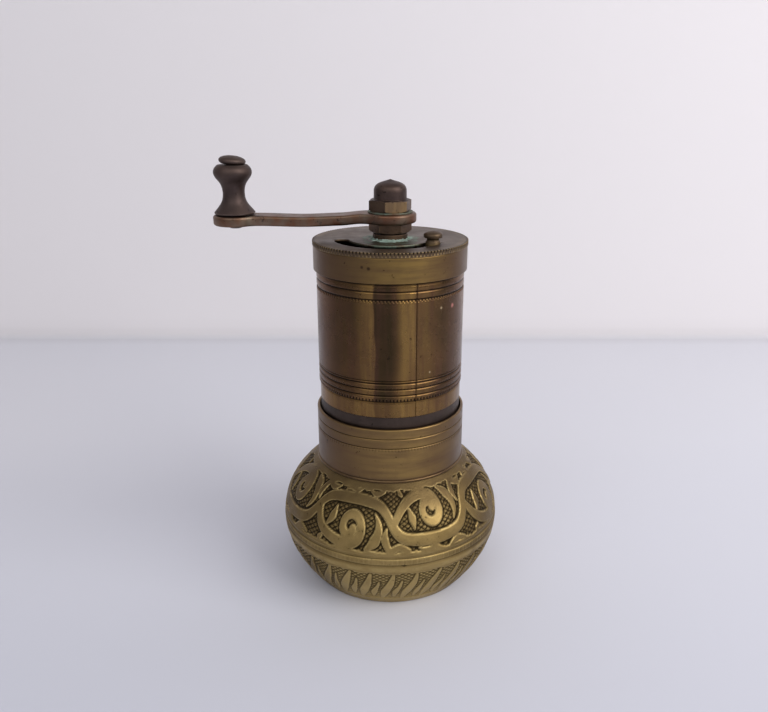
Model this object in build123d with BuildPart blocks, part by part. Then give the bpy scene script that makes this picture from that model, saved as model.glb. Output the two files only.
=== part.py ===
"""Hand cranked poppy seed mill: a round cup, a barrel that plugs into it and a conical burr set.

Millimetres, +Z up, origin at the centre of the cup's flat base. The barrel stands partly drawn
out of the cup, the fill slot in the top plate is open and the crank points towards -X.
"""

from build123d import *
from math import cos, degrees, radians, sin, tan
import os

os.makedirs("parts", exist_ok=True)

# ---------------------------------------------------------------- clearances
running_clearance = 0.08      # radial, a shaft, pin or screw that turns in its bore
seat_clearance = 0.02         # radial, pieces that are pressed, soldered or screwed together
slide_clearance = 0.25        # radial, barrel strip inside the cup collar
face_clearance = 0.1          # flat faces that slide past each other
stop_clearance = 0.3          # what is left between two pieces at the end of a travel
thrust_clearance = 0.05       # above and below the thrust ball

# ---------------------------------------------------------------- travels
adjust_up = 0.7               # the burr cone rises this far to its finest setting
adjust_down = 0.35            # and drops this far to its coarsest
shutter_travel = 128.0        # degrees from open to shut

# ---------------------------------------------------------------- cup
bowl_radius = 36.0            # belly, outside
belly_height = 20.3
bowl_foot_radius = 26.6
under_belly_inset = 4.4       # a point of the outline below the belly
under_belly_height = 6.9
shoulder_inset = 4.0          # a point of the outline above the belly
shoulder_drop = 8.1           # below the mouth
bowl_height = 41.5            # base to mouth
bowl_wall = 1.5
collar_length = 17.7          # mouth to rim
collar_wall = 0.95
collar_seat_depth = 1.6       # length of collar held inside the bowl's mouth
collar_bead = 0.45            # radius of the half round bead at the collar's foot
collar_grooves = (3.2, 6.3)   # below the rim
groove_depth = 0.25

# ---------------------------------------------------------------- barrel
barrel_radius = 23.0
tube_wall = 0.9
tube_length = 48.95
strip_step = 0.35             # the bottom strip is this much smaller than the barrel in radius
strip_length = 5.2
barrel_raise = 8.7            # first bead above the collar's rim, with the barrel drawn out
bead_count = 3
bead_pitch = 1.97
upper_grooves = (2.7, 5.0)    # below the cap's skirt
cap_skirt_length = 7.4
cap_skirt_wall = 0.8
cap_edge_chamfer = 0.3

# ---------------------------------------------------------------- top plate and fill slot
plate_thickness = 0.8
plate_rim_depth = 0.7         # the rim hangs this far below the plate
plate_rim_width = 1.8
plate_overhang = 0.15         # beyond the cap's skirt
slot_radius = 15.3            # centre line of the curved fill slot
slot_width = 4.8
slot_right_angle = -34.0      # centres of the rounded ends
slot_left_angle = -162.0

# ---------------------------------------------------------------- neck bush, shutter and its knob
neck_radius = 5.35
neck_height = 1.7             # above the top plate
bush_tail_radius = 4.9
bush_bottom_lip = 0.3         # tail left below the retaining ring
shutter_thickness = 0.8
shutter_overlap = 1.8         # radial cover past each side of the slot
shutter_lap_angle = 3.5       # cover past each end of the slot, degrees
shutter_eye_width = 3.6       # ring of the shutter round the bush
retainer_radius = 8.6
retainer_thickness = 1.0
knob_stem_radius = 2.2
knob_head_radius = 2.8
knob_stem_height = 2.6        # above the shutter
knob_head_height = 0.8        # straight part of the head
knob_dome_rise = 1.3
knob_waist_radius = 1.75
knob_waist_length = 0.9       # hollow under the head
knob_rivet_radius = 1.1

# ---------------------------------------------------------------- shaft and burrs
shaft_radius = 3.0
shaft_flats = 5.0             # across the flats under the arm and in the cone
shaft_end_radius = 2.45       # pilot at the bottom and thread at the top
ring_spigot_length = 14.2     # iron ring below the barrel tube
ring_spigot_inset = 0.1       # iron ring inside the strip's radius
ring_neck_length = 7.5        # iron ring inside the barrel tube
funnel_lip = 0.8
funnel_throat_step = 0.3       # throat beyond the flutes' tips
funnel_depth = 7.0
cone_lift = 1.5               # cone's large end above the ring's underside
ring_land = 8.05              # ring's edge to the tooth tips at the cone's large end, radial
cone_half_angle = 22.0
fine_length = 8.0             # finely toothed part of the cone
fine_teeth = 24
fine_depth = 1.1
fine_twist = 10.0             # degrees over the fine part
fine_face = 0.2               # share of a tooth's pitch that its steep face takes
flight_length = 12.0          # feeding part above the fine teeth
flight_count = 6
flight_twist = 50.0           # degrees over the feeding part
flight_depth = 2.6
flight_face = 0.25
flight_tip_radius = 6.6       # at the small end
burr_gap = 0.6                # radial, tooth tips at the resting setting
flute_count = 8
flute_depth = 1.9
flute_twist = 24.0
flute_face = 0.3
sections = 4                  # outlines that each toothed part is lofted through

# ---------------------------------------------------------------- bridge, thrust ball and adjuster
bridge_thickness = 2.5
bridge_width = 10.0
bridge_inset = 1.3            # strap ends inside the ring's edge
bridge_boss_radius = 5.6
bridge_boss_length = 10.0
bearing_length = 4.4          # upper part of the boss, which guides the shaft's pilot
ball_radius = 2.0
pilot_engagement = 2.2        # pilot inside the boss
adjuster_radius = 3.0
adjuster_head_radius = 7.5
adjuster_head_height = 4.0
adjuster_head_teeth = 24
adjuster_tooth_depth = 0.6
adjuster_tooth_face = 0.5
adjuster_slot_width = 1.4
adjuster_slot_depth = 1.2
bridge_screw_radius = 1.5
bridge_screw_inset = 3.15     # screw axis inside the ring's edge
bridge_screw_bite = 6.0       # length in the iron ring
bridge_screw_head_radius = 2.7
bridge_screw_head_height = 1.7
screw_slot_width = 0.7
screw_slot_depth = 0.8
clip_thickness = 0.8
clip_width = 2.4
clip_groove_depth = 0.5
clip_opening = 3.2

# ---------------------------------------------------------------- crank
lower_nut_height = 2.8
lower_nut_corner_radius = 6.55
nut_chamfer = 0.4
crank_angle = 182.0           # degrees about +Z, towards which the arm points
arm_length = 46.9             # shaft axis to knob axis
arm_width = 8.0
arm_thickness = 3.0
arm_joggle = 0.5              # hub eye above the knob eye
arm_sag = 0.35                # lowest part of the bar below the knob eye
joggle_start = 8.5            # distances from the shaft's axis
joggle_end = 15.0
sag_distance = 26.0
hub_eye_radius = 8.0
knob_eye_radius = 6.6
hub_flare = 9.0               # fillets between the eyes and the bar
knob_flare = 5.0
washer_radius = 6.9
washer_thickness = 0.45
acorn_hex_height = 3.5
acorn_corner_radius = 6.75
acorn_hex_angle = -43.0       # direction of one corner
acorn_dome_radius = 5.0
acorn_dome_height = 2.4       # straight part
acorn_crown_height = 2.0      # rounded shoulder
acorn_crown_radius = 3.6      # where the shoulder meets the low cone on top
acorn_tip_height = 1.5
acorn_thread_depth = 5.6

# ---------------------------------------------------------------- knob
grip_height = 14.4
grip_foot_radius = 6.1
grip_foot_height = 0.5
grip_waist_radius = 3.25
grip_waist_height = 6.2
grip_bulge_radius = 5.75
grip_bulge_height = 12.2
grip_top_radius = 4.4
grip_foot_slope = (-0.8, 0.6) # directions of the outline at its ends
grip_top_slope = (-1.0, 0.3)
pin_radius = 1.9
pin_tail_radius = 2.25
pin_tail_height = 1.0
pin_head_radius = 4.05
pin_head_edge = 1.4           # thickness at the head's rounded edge
pin_head_rise = 1.1           # crown above the edge
pin_head_tilt = 6.0           # the hammered head leans towards the shaft
pin_head_neck = 0.5           # shank left bare between the grip and the head

# ---------------------------------------------------------------- radii that follow from these
strip_radius = barrel_radius - strip_step
tube_bore = barrel_radius - tube_wall
collar_bore = strip_radius + slide_clearance
collar_radius = collar_bore + collar_wall
ring_spigot_radius = strip_radius - ring_spigot_inset
ring_neck_radius = tube_bore - seat_clearance
cap_bore = barrel_radius + seat_clearance
cap_radius = cap_bore + cap_skirt_wall
plate_radius = cap_radius + plate_overhang
shutter_radius = slot_radius + slot_width / 2 + shutter_overlap
shutter_bore = bush_tail_radius + running_clearance
cone_radius = ring_spigot_radius - ring_land
bridge_screw_circle = ring_spigot_radius - bridge_screw_inset
adjuster_root_radius = adjuster_head_radius - adjuster_tooth_depth
clip_bore = shaft_end_radius - clip_groove_depth + seat_clearance
grip_bore = pin_radius + running_clearance

# ---------------------------------------------------------------- heights that follow from these
collar_foot = bowl_height - collar_seat_depth
collar_top = bowl_height + collar_length
strip_top = collar_top + barrel_raise
tube_bottom = strip_top - strip_length
tube_top = tube_bottom + tube_length
beads_top = strip_top + bead_count * bead_pitch
plate_underside = tube_top + plate_rim_depth
plate_top = plate_underside + plate_thickness
cap_bottom = tube_top - cap_skirt_length

ring_bottom = tube_bottom - ring_spigot_length
ring_top = tube_bottom + ring_neck_length
cone_bottom = ring_bottom + cone_lift
fine_top = cone_bottom + fine_length
cone_top = fine_top + flight_length
funnel_bottom = ring_top - funnel_depth

bridge_bottom = ring_bottom - bridge_thickness
screw_head_bottom = bridge_bottom - bridge_screw_head_height
boss_bottom = ring_bottom - bridge_boss_length
shaft_bottom = ring_bottom - pilot_engagement
ball_centre = shaft_bottom - thrust_clearance - ball_radius
adjuster_top = ball_centre - ball_radius - thrust_clearance
adjuster_head_top = boss_bottom - adjust_up - stop_clearance
adjuster_head_bottom = adjuster_head_top - adjuster_head_height
clip_bottom = cone_bottom - seat_clearance - clip_thickness

shutter_top = plate_underside - face_clearance
shutter_bottom = shutter_top - shutter_thickness
retainer_top = shutter_bottom - face_clearance
retainer_bottom = retainer_top - retainer_thickness
bush_bottom = retainer_bottom - bush_bottom_lip
neck_top = plate_top + neck_height
knob_head_bottom = shutter_top + knob_stem_height
knob_dome_bottom = knob_head_bottom + knob_head_height

lower_nut_bottom = neck_top + adjust_down + face_clearance
hub_bottom = lower_nut_bottom + lower_nut_height
hub_top = hub_bottom + arm_thickness
bar_bottom = hub_bottom - arm_joggle
bar_top = bar_bottom + arm_thickness
washer_top = hub_top + washer_thickness
acorn_dome_bottom = washer_top + acorn_hex_height
acorn_crown_bottom = acorn_dome_bottom + acorn_dome_height
acorn_tip_bottom = acorn_crown_bottom + acorn_crown_height
acorn_top = acorn_tip_bottom + acorn_tip_height
shaft_top = washer_top + acorn_thread_depth
grip_bottom = bar_top + stop_clearance
grip_top = grip_bottom + grip_height


def level(height):
    """Horizontal plane at a height above the base."""
    return Plane.XY.offset(height)


def polar(radius, angle):
    """Point on a circle round the axis, angle in degrees."""
    return (radius * cos(radians(angle)), radius * sin(radians(angle)))


def groove_places(radius, heights):
    """Places of turned grooves on the half section of a round piece."""
    return [(radius, height) for height in heights]


def tooth_outline(count, tip_radius, root_radius, turn, face_share):
    """Saw teeth on a circle: a steep face takes face_share of each pitch and a long back the rest."""
    pitch = 360 / count
    points = []
    for tooth in range(count):
        start = turn + tooth * pitch
        points.append(polar(tip_radius, start))
        points.append(polar(root_radius, start + face_share * pitch))
    return points


def eased_nut_outline(corner_radius, bottom, top):
    """Half section of a nut whose corners are turned off at both ends."""
    return [
        (0, bottom),
        (corner_radius - nut_chamfer, bottom),
        (corner_radius, bottom + nut_chamfer),
        (corner_radius, top - nut_chamfer),
        (corner_radius - nut_chamfer, top),
        (0, top),
    ]


def arm_edge(rise):
    """Points along the arm's lower edge seen from the side, raised: hub, joggle, sag and knob eye."""
    return [
        (joggle_start, hub_bottom + rise),
        (joggle_end, bar_bottom + rise),
        (sag_distance, bar_bottom - arm_sag + rise),
        (arm_length - knob_eye_radius, bar_bottom + rise),
    ]


def dome_radius(edge_radius, rise):
    """Radius of the sphere whose cap has this edge radius and rise."""
    return (edge_radius**2 + rise**2) / (2 * rise)


def cone_tip_radius(height):
    """Tooth tips of the burr cone at a height, without the slimmer feeding part."""
    return cone_radius - (height - cone_bottom) * tan(radians(cone_half_angle))


def flight_tip(height):
    """Outer edge of the feeding flights at a height."""
    share = (height - fine_top) / flight_length
    return cone_tip_radius(fine_top) * (1 - share) + flight_tip_radius * share


def ring_tip_radius(height):
    """Tooth tips of the burr ring at a height."""
    return cone_tip_radius(height) + burr_gap


# ---------------------------------------------------------------- places that follow from these
funnel_throat_radius = ring_tip_radius(fine_top) + funnel_throat_step
knob_x, knob_y = polar(arm_length, crank_angle)
screw_places = [(-bridge_screw_circle, 0), (bridge_screw_circle, 0)]
shutter_knob_place = polar(slot_radius, slot_right_angle)
slot_end_angle = degrees(slot_width / 2 / slot_radius)
shutter_lead_angle = slot_left_angle - slot_end_angle - shutter_lap_angle + shutter_travel
shutter_trail_angle = slot_right_angle + slot_end_angle + shutter_lap_angle + shutter_travel


# ================================================================ cup

# Spun bowl: flat foot, round belly, one wall thickness, and a mouth bored for the collar.
with BuildPart() as cup_bowl:
    with BuildSketch(Plane.XZ):
        with BuildLine():
            Line((0, 0), (bowl_foot_radius, 0))
            Spline(
                (bowl_foot_radius, 0),
                (bowl_radius - under_belly_inset, under_belly_height),
                (bowl_radius, belly_height),
                (bowl_radius - shoulder_inset, bowl_height - shoulder_drop),
                (collar_radius, bowl_height),
            )
            Polyline((collar_radius, bowl_height), (0, bowl_height), (0, 0))
        make_face()
    revolve(axis=Axis.Z)
    offset(amount=-bowl_wall, openings=cup_bowl.faces().sort_by(Axis.Z)[-1])
    with BuildSketch(level(belly_height)):
        Circle(collar_radius + seat_clearance)
    extrude(amount=bowl_height, mode=Mode.SUBTRACT)
cup_bowl.part.label = "cup_bowl"
export_step(cup_bowl.part, "parts/cup_bowl.step")

# Collar soldered into the mouth: half round bead on the bowl, two turned grooves under the rim.
with BuildPart() as cup_collar:
    with BuildSketch(Plane.XZ):
        with Locations((collar_bore, collar_foot)):
            Rectangle(collar_wall, collar_top - collar_foot, align=(Align.MIN, Align.MIN))
        with Locations((collar_radius, bowl_height + collar_bead + seat_clearance)):
            Circle(collar_bead)
        with Locations(*groove_places(collar_radius, [collar_top - drop for drop in collar_grooves])):
            Rectangle(groove_depth, groove_depth, rotation=45, mode=Mode.SUBTRACT)
    revolve(axis=Axis.Z)
cup_collar.part.label = "cup_collar"
export_step(cup_collar.part, "parts/cup_collar.step")

# ================================================================ barrel

# Rolled tube: plain strip that plugs into the collar, three beads, long plain part, two grooves.
with BuildPart() as barrel_tube:
    with BuildSketch(Plane.XZ):
        with BuildLine():
            Polyline(
                (strip_radius, strip_top),
                (strip_radius, tube_bottom),
                (tube_bore, tube_bottom),
                (tube_bore, tube_top),
                (barrel_radius, tube_top),
                (barrel_radius, beads_top + strip_step),
                (strip_radius, beads_top),
            )
            for bead in range(bead_count):
                bead_bottom = strip_top + bead * bead_pitch
                ThreePointArc(
                    (strip_radius, bead_bottom),
                    (barrel_radius, bead_bottom + bead_pitch / 2),
                    (strip_radius, bead_bottom + bead_pitch),
                )
        make_face()
        with Locations(*groove_places(barrel_radius, [cap_bottom - drop for drop in upper_grooves])):
            Rectangle(groove_depth, groove_depth, rotation=45, mode=Mode.SUBTRACT)
    revolve(axis=Axis.Z)
barrel_tube.part.label = "barrel_tube"
export_step(barrel_tube.part, "parts/barrel_tube.step")

# Cap ring pressed over the top of the tube, with its lower edge eased.
with BuildPart() as cap_ring:
    with BuildSketch(level(cap_bottom)):
        Circle(cap_radius)
        Circle(cap_bore, mode=Mode.SUBTRACT)
    extrude(amount=cap_skirt_length)
    chamfer(cap_ring.edges().group_by(Axis.Z)[0].sort_by(SortBy.RADIUS)[-1], length=cap_edge_chamfer)
cap_ring.part.label = "cap_ring"
export_step(cap_ring.part, "parts/cap_ring.step")

# Top plate: a disc with a rim that rests on the tube and the cap ring, and the curved fill slot.
slot_centre_line = CenterArc((0, 0), slot_radius, slot_left_angle, slot_right_angle - slot_left_angle)
with BuildPart() as top_plate:
    with BuildSketch(level(tube_top)):
        Circle(plate_radius)
        Circle(plate_radius - plate_rim_width, mode=Mode.SUBTRACT)
    extrude(amount=plate_rim_depth)
    with BuildSketch(level(plate_underside)):
        Circle(plate_radius)
        Circle(bush_tail_radius + seat_clearance, mode=Mode.SUBTRACT)
        SlotArc(slot_centre_line, slot_width, mode=Mode.SUBTRACT)
    extrude(amount=plate_thickness)
top_plate.part.label = "top_plate"
export_step(top_plate.part, "parts/top_plate.step")

# Neck bush: its head stands on the top plate, its tail carries the shutter and the retaining ring.
with BuildPart() as neck_bush:
    with BuildSketch(level(bush_bottom)):
        Circle(bush_tail_radius)
    extrude(amount=plate_top - bush_bottom)
    with BuildSketch(level(plate_top)):
        Circle(neck_radius)
    extrude(amount=neck_height)
    with BuildSketch(level(neck_top)):
        Circle(shaft_radius + running_clearance)
    extrude(amount=bush_bottom - neck_top, mode=Mode.SUBTRACT)
neck_bush.part.label = "neck_bush"
export_step(neck_bush.part, "parts/neck_bush.step")

# Retaining ring pressed on the bush's tail, under the shutter.
with BuildPart() as shutter_retainer:
    with BuildSketch(level(retainer_bottom)):
        Circle(retainer_radius)
        Circle(bush_tail_radius + seat_clearance, mode=Mode.SUBTRACT)
    extrude(amount=retainer_thickness)
shutter_retainer.part.label = "shutter_retainer"
export_step(shutter_retainer.part, "parts/shutter_retainer.step")

# ================================================================ shutter

# Sector that turns on the bush under the top plate. Open, it lies behind the shaft, from the
# knob round to the far side; turned clockwise it covers the whole slot.
with BuildPart() as shutter_plate:
    with BuildSketch(level(shutter_bottom)):
        with BuildLine():
            sector_edge = CenterArc(
                (0, 0), shutter_radius, shutter_lead_angle, shutter_trail_angle - shutter_lead_angle
            )
            Line(sector_edge @ 1, (0, 0))
            Line((0, 0), sector_edge @ 0)
        make_face()
        Circle(shutter_bore + shutter_eye_width)
        Circle(shutter_bore, mode=Mode.SUBTRACT)
        with Locations(shutter_knob_place):
            Circle(knob_rivet_radius + seat_clearance, mode=Mode.SUBTRACT)
    extrude(amount=shutter_thickness)
shutter_plate.part.label = "shutter_plate"
export_step(shutter_plate.part, "parts/shutter_plate.step")

# Turned knob riveted to the shutter. Its stem slides along the slot.
with BuildPart() as shutter_knob:
    with BuildSketch(Plane(origin=(*shutter_knob_place, 0), x_dir=(1, 0, 0), z_dir=(0, -1, 0))):
        with BuildLine():
            Polyline(
                (0, knob_dome_bottom + knob_dome_rise),
                (0, shutter_bottom),
                (knob_rivet_radius, shutter_bottom),
                (knob_rivet_radius, shutter_top),
                (knob_stem_radius, shutter_top),
                (knob_stem_radius, knob_head_bottom - knob_waist_length),
            )
            ThreePointArc(
                (knob_stem_radius, knob_head_bottom - knob_waist_length),
                (knob_waist_radius, knob_head_bottom - knob_waist_length / 2),
                (knob_stem_radius, knob_head_bottom),
            )
            Polyline(
                (knob_stem_radius, knob_head_bottom),
                (knob_head_radius, knob_head_bottom),
                (knob_head_radius, knob_dome_bottom),
            )
            RadiusArc(
                (knob_head_radius, knob_dome_bottom),
                (0, knob_dome_bottom + knob_dome_rise),
                -dome_radius(knob_head_radius, knob_dome_rise),
            )
        make_face()
    revolve(axis=Axis(origin=(*shutter_knob_place, 0), direction=(0, 0, 1)))
shutter_knob.part.label = "shutter_knob"
export_step(shutter_knob.part, "parts/shutter_knob.step")

# ================================================================ burrs

# Burr cone: fine helical saw teeth at the large end, feeding flights above, bore with two flats.
with BuildPart() as burr_cone:
    for section in range(sections):
        share = section / (sections - 1)
        height = cone_bottom + share * fine_length
        tip = cone_tip_radius(height)
        turn = share * fine_twist
        with BuildSketch(level(height)):
            with BuildLine():
                Polyline(*tooth_outline(fine_teeth, tip, tip - fine_depth, turn, fine_face), close=True)
            make_face()
    loft(ruled=True)
    for section in range(sections + 1):
        share = section / sections
        height = fine_top + share * flight_length
        tip = flight_tip(height)
        turn = share * flight_twist
        with BuildSketch(level(height)):
            with BuildLine():
                Polyline(
                    *tooth_outline(flight_count, tip, tip - flight_depth, turn, flight_face), close=True
                )
            make_face()
    loft(ruled=True)
    with BuildSketch(level(cone_bottom)):
        Circle(shaft_radius + seat_clearance)
        Rectangle(
            2 * (shaft_radius + seat_clearance), shaft_flats + 2 * seat_clearance, mode=Mode.INTERSECT
        )
    extrude(amount=cone_top - cone_bottom, mode=Mode.SUBTRACT)
burr_cone.part.label = "burr_cone"
export_step(burr_cone.part, "parts/burr_cone.step")

# Burr ring: iron casting that carries the barrel. Spigot below, neck inside the tube, funnel on
# top, coarse flutes in the throat and fine teeth round the outlet.
with BuildPart() as burr_ring:
    with BuildSketch(level(ring_bottom)):
        Circle(ring_spigot_radius)
    extrude(amount=ring_spigot_length)
    with BuildSketch(level(tube_bottom)):
        Circle(ring_neck_radius)
    extrude(amount=ring_neck_length)
    with BuildSketch(level(ring_top)):
        Circle(ring_neck_radius - funnel_lip)
    with BuildSketch(level(funnel_bottom)):
        Circle(funnel_throat_radius)
    loft(mode=Mode.SUBTRACT)
    for section in range(sections):
        share = section / (sections - 1)
        height = ring_bottom + share * (fine_top - ring_bottom)
        tip = ring_tip_radius(height)
        turn = -share * fine_twist
        with BuildSketch(level(height)):
            with BuildLine():
                Polyline(*tooth_outline(fine_teeth, tip, tip + fine_depth, turn, fine_face), close=True)
            make_face()
    loft(ruled=True, mode=Mode.SUBTRACT)
    for section in range(sections):
        share = section / (sections - 1)
        height = fine_top + share * (funnel_bottom - fine_top)
        tip = ring_tip_radius(fine_top)
        turn = -share * flute_twist
        with BuildSketch(level(height)):
            with BuildLine():
                Polyline(*tooth_outline(flute_count, tip, tip + flute_depth, turn, flute_face), close=True)
            make_face()
    loft(ruled=True, mode=Mode.SUBTRACT)
    with Locations(*[(x, y, ring_bottom) for x, y in screw_places]):
        Cylinder(
            bridge_screw_radius + seat_clearance,
            bridge_screw_bite + stop_clearance,
            align=(Align.CENTER, Align.CENTER, Align.MIN),
            mode=Mode.SUBTRACT,
        )
burr_ring.part.label = "burr_ring"
export_step(burr_ring.part, "parts/burr_ring.step")

# ================================================================ bridge under the burrs

# Strap across the outlet with a boss: bearing for the shaft's pilot above, adjuster thread below.
with BuildPart() as bridge:
    with BuildSketch(level(bridge_bottom)):
        SlotOverall(2 * (ring_spigot_radius - bridge_inset), bridge_width)
        with Locations(*screw_places):
            Circle(bridge_screw_radius + running_clearance, mode=Mode.SUBTRACT)
    extrude(amount=bridge_thickness)
    with BuildSketch(level(boss_bottom)):
        Circle(bridge_boss_radius)
    extrude(amount=bridge_boss_length)
    with BuildSketch(level(ring_bottom)):
        Circle(shaft_end_radius + running_clearance)
    extrude(amount=-bridge_boss_length, mode=Mode.SUBTRACT)
    with BuildSketch(level(boss_bottom)):
        Circle(adjuster_radius + running_clearance)
    extrude(amount=bridge_boss_length - bearing_length, mode=Mode.SUBTRACT)
bridge.part.label = "bridge"
export_step(bridge.part, "parts/bridge.step")

# Two slotted screws that hold the bridge to the ring.
with BuildPart() as bridge_screws:
    with BuildSketch(level(bridge_bottom)):
        with Locations(*screw_places):
            Circle(bridge_screw_radius)
    extrude(amount=bridge_thickness + bridge_screw_bite)
    with BuildSketch(level(screw_head_bottom)):
        with Locations(*screw_places):
            Circle(bridge_screw_head_radius)
    extrude(amount=bridge_screw_head_height)
    with BuildSketch(level(screw_head_bottom)):
        with Locations(*screw_places):
            Rectangle(2 * bridge_screw_head_radius, screw_slot_width)
    extrude(amount=screw_slot_depth, mode=Mode.SUBTRACT)
bridge_screws.part.label = "bridge_screws"
export_step(bridge_screws.part, "parts/bridge_screws.step")

# Ball between the adjuster and the shaft.
with BuildPart() as thrust_ball:
    with Locations((0, 0, ball_centre)):
        Sphere(ball_radius)
thrust_ball.part.label = "thrust_ball"
export_step(thrust_ball.part, "parts/thrust_ball.step")

# Adjuster: screw with a milled head, slotted underneath. Turning it lifts or lowers the cone.
with BuildPart() as grind_adjuster:
    with BuildSketch(level(adjuster_head_top)):
        Circle(adjuster_radius)
    extrude(amount=adjuster_top - adjuster_head_top)
    with BuildSketch(level(adjuster_head_bottom)):
        with BuildLine():
            Polyline(
                *tooth_outline(
                    adjuster_head_teeth, adjuster_head_radius, adjuster_root_radius, 0, adjuster_tooth_face
                ),
                close=True,
            )
        make_face()
    extrude(amount=adjuster_head_height)
    with BuildSketch(level(adjuster_head_bottom)):
        Rectangle(2 * adjuster_head_radius, adjuster_slot_width)
    extrude(amount=adjuster_slot_depth, mode=Mode.SUBTRACT)
grind_adjuster.part.label = "grind_adjuster"
export_step(grind_adjuster.part, "parts/grind_adjuster.step")

# ================================================================ shaft and crank

# Shaft: pilot with a clip groove, flats in the cone, round through the hopper and the neck bush,
# flats in the arm and a thinner threaded end for the acorn nut.
flats_cutter = 4 * shaft_radius  # clear of the shaft on every side
with BuildPart() as main_shaft:
    with BuildSketch(level(shaft_bottom)):
        Circle(shaft_end_radius)
    extrude(amount=shaft_top - shaft_bottom)
    with BuildSketch(level(cone_bottom)):
        Circle(shaft_radius)
    extrude(amount=hub_top - cone_bottom)
    for flats_bottom, flats_top in ((cone_bottom, cone_top), (hub_bottom, hub_top)):
        with BuildSketch(level(flats_bottom)):
            Rectangle(flats_cutter, flats_cutter)
            Rectangle(flats_cutter, shaft_flats, mode=Mode.SUBTRACT)
        extrude(amount=flats_top - flats_bottom, mode=Mode.SUBTRACT)
    with BuildSketch(level(clip_bottom)):
        Circle(shaft_radius)
        Circle(shaft_end_radius - clip_groove_depth, mode=Mode.SUBTRACT)
    extrude(amount=clip_thickness, mode=Mode.SUBTRACT)
main_shaft.part.label = "main_shaft"
export_step(main_shaft.part, "parts/main_shaft.step")

# Open clip in the pilot's groove, which keeps the cone on the shaft.
with BuildPart() as burr_clip:
    with BuildSketch(level(clip_bottom + seat_clearance / 2)):
        Circle(clip_bore + clip_width)
        Circle(clip_bore, mode=Mode.SUBTRACT)
        with Locations((0, -clip_bore - clip_width)):
            Rectangle(clip_opening, 2 * (clip_bore + clip_width), mode=Mode.SUBTRACT)
    extrude(amount=clip_thickness - seat_clearance)
burr_clip.part.label = "burr_clip"
export_step(burr_clip.part, "parts/burr_clip.step")

# Lower nut: hexagon under the arm, eased at both ends.
with BuildPart() as lower_nut:
    with BuildSketch(level(lower_nut_bottom)):
        RegularPolygon(lower_nut_corner_radius, 6)
        Circle(shaft_radius + seat_clearance, mode=Mode.SUBTRACT)
    extrude(amount=lower_nut_height)
    with BuildSketch(Plane.XZ):
        with BuildLine():
            Polyline(*eased_nut_outline(lower_nut_corner_radius, lower_nut_bottom, hub_bottom), close=True)
        make_face()
    revolve(axis=Axis.Z, mode=Mode.INTERSECT)
lower_nut.part.label = "lower_nut"
export_step(lower_nut.part, "parts/lower_nut.step")

# Crank arm: bar with an eye at each end. Fillets flare the bar out to the eyes. It drops from the
# hub by a joggle and sags a little before it reaches the knob.
arm_direction = (*polar(1, crank_angle), 0)
arm_plan = Plane(origin=(0, 0, 0), x_dir=arm_direction, z_dir=(0, 0, 1))
arm_side = Plane(origin=(0, 0, 0), x_dir=arm_direction, z_dir=(*polar(1, crank_angle - 90), 0))
side_start = -2 * hub_eye_radius
side_end = arm_length + 2 * knob_eye_radius
with BuildPart() as crank_arm:
    with BuildSketch(arm_plan) as plan:
        Circle(hub_eye_radius)
        with Locations((arm_length, 0)):
            Circle(knob_eye_radius)
        with Locations((arm_length / 2, 0)):
            Rectangle(arm_length, arm_width)
        corners = plan.vertices().filter_by(lambda corner: abs(corner.Y) > arm_width / 4).sort_by(Axis.X)
        fillet(corners[:2], radius=hub_flare)
        corners = plan.vertices().filter_by(lambda corner: abs(corner.Y) > arm_width / 4).sort_by(Axis.X)
        fillet(corners[-2:], radius=knob_flare)
        Circle(shaft_radius + seat_clearance, mode=Mode.SUBTRACT)
        with Locations((arm_length, 0)):
            Circle(pin_radius + seat_clearance, mode=Mode.SUBTRACT)
    extrude(amount=acorn_top)
    with BuildSketch(arm_side):
        with BuildLine():
            Line((side_start, hub_bottom), (joggle_start, hub_bottom))
            Spline(*arm_edge(0), tangents=((1, 0), (1, 0)))
            Polyline(
                (arm_length - knob_eye_radius, bar_bottom),
                (side_end, bar_bottom),
                (side_end, bar_top),
                (arm_length - knob_eye_radius, bar_top),
            )
            Spline(*arm_edge(arm_thickness), tangents=((1, 0), (1, 0)))
            Polyline((joggle_start, hub_top), (side_start, hub_top), (side_start, hub_bottom))
        make_face()
    extrude(amount=arm_length, both=True, mode=Mode.INTERSECT)
crank_arm.part.label = "crank_arm"
export_step(crank_arm.part, "parts/crank_arm.step")

# Washer between the arm and the acorn nut.
with BuildPart() as arm_washer:
    with BuildSketch(level(hub_top)):
        Circle(washer_radius)
        Circle(shaft_end_radius + running_clearance, mode=Mode.SUBTRACT)
    extrude(amount=washer_thickness)
arm_washer.part.label = "arm_washer"
export_step(arm_washer.part, "parts/arm_washer.step")

# Acorn nut: hexagon with eased corners, and a dome that ends in a low point.
with BuildPart() as acorn_nut:
    with BuildSketch(level(washer_top)):
        RegularPolygon(acorn_corner_radius, 6, rotation=acorn_hex_angle)
    extrude(amount=acorn_hex_height)
    with BuildSketch(Plane.XZ):
        with BuildLine():
            Polyline(*eased_nut_outline(acorn_corner_radius, washer_top, acorn_dome_bottom), close=True)
        make_face()
    revolve(axis=Axis.Z, mode=Mode.INTERSECT)
    with BuildSketch(Plane.XZ):
        with BuildLine():
            Polyline(
                (0, acorn_dome_bottom),
                (acorn_dome_radius, acorn_dome_bottom),
                (acorn_dome_radius, acorn_crown_bottom),
            )
            TangentArc(
                (acorn_dome_radius, acorn_crown_bottom),
                (acorn_crown_radius, acorn_tip_bottom),
                tangent=(0, 1),
            )
            Polyline((acorn_crown_radius, acorn_tip_bottom), (0, acorn_top), (0, acorn_dome_bottom))
        make_face()
    revolve(axis=Axis.Z)
    with BuildSketch(level(washer_top)):
        Circle(shaft_end_radius + seat_clearance)
    extrude(amount=acorn_thread_depth + seat_clearance, mode=Mode.SUBTRACT)
acorn_nut.part.label = "acorn_nut"
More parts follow.
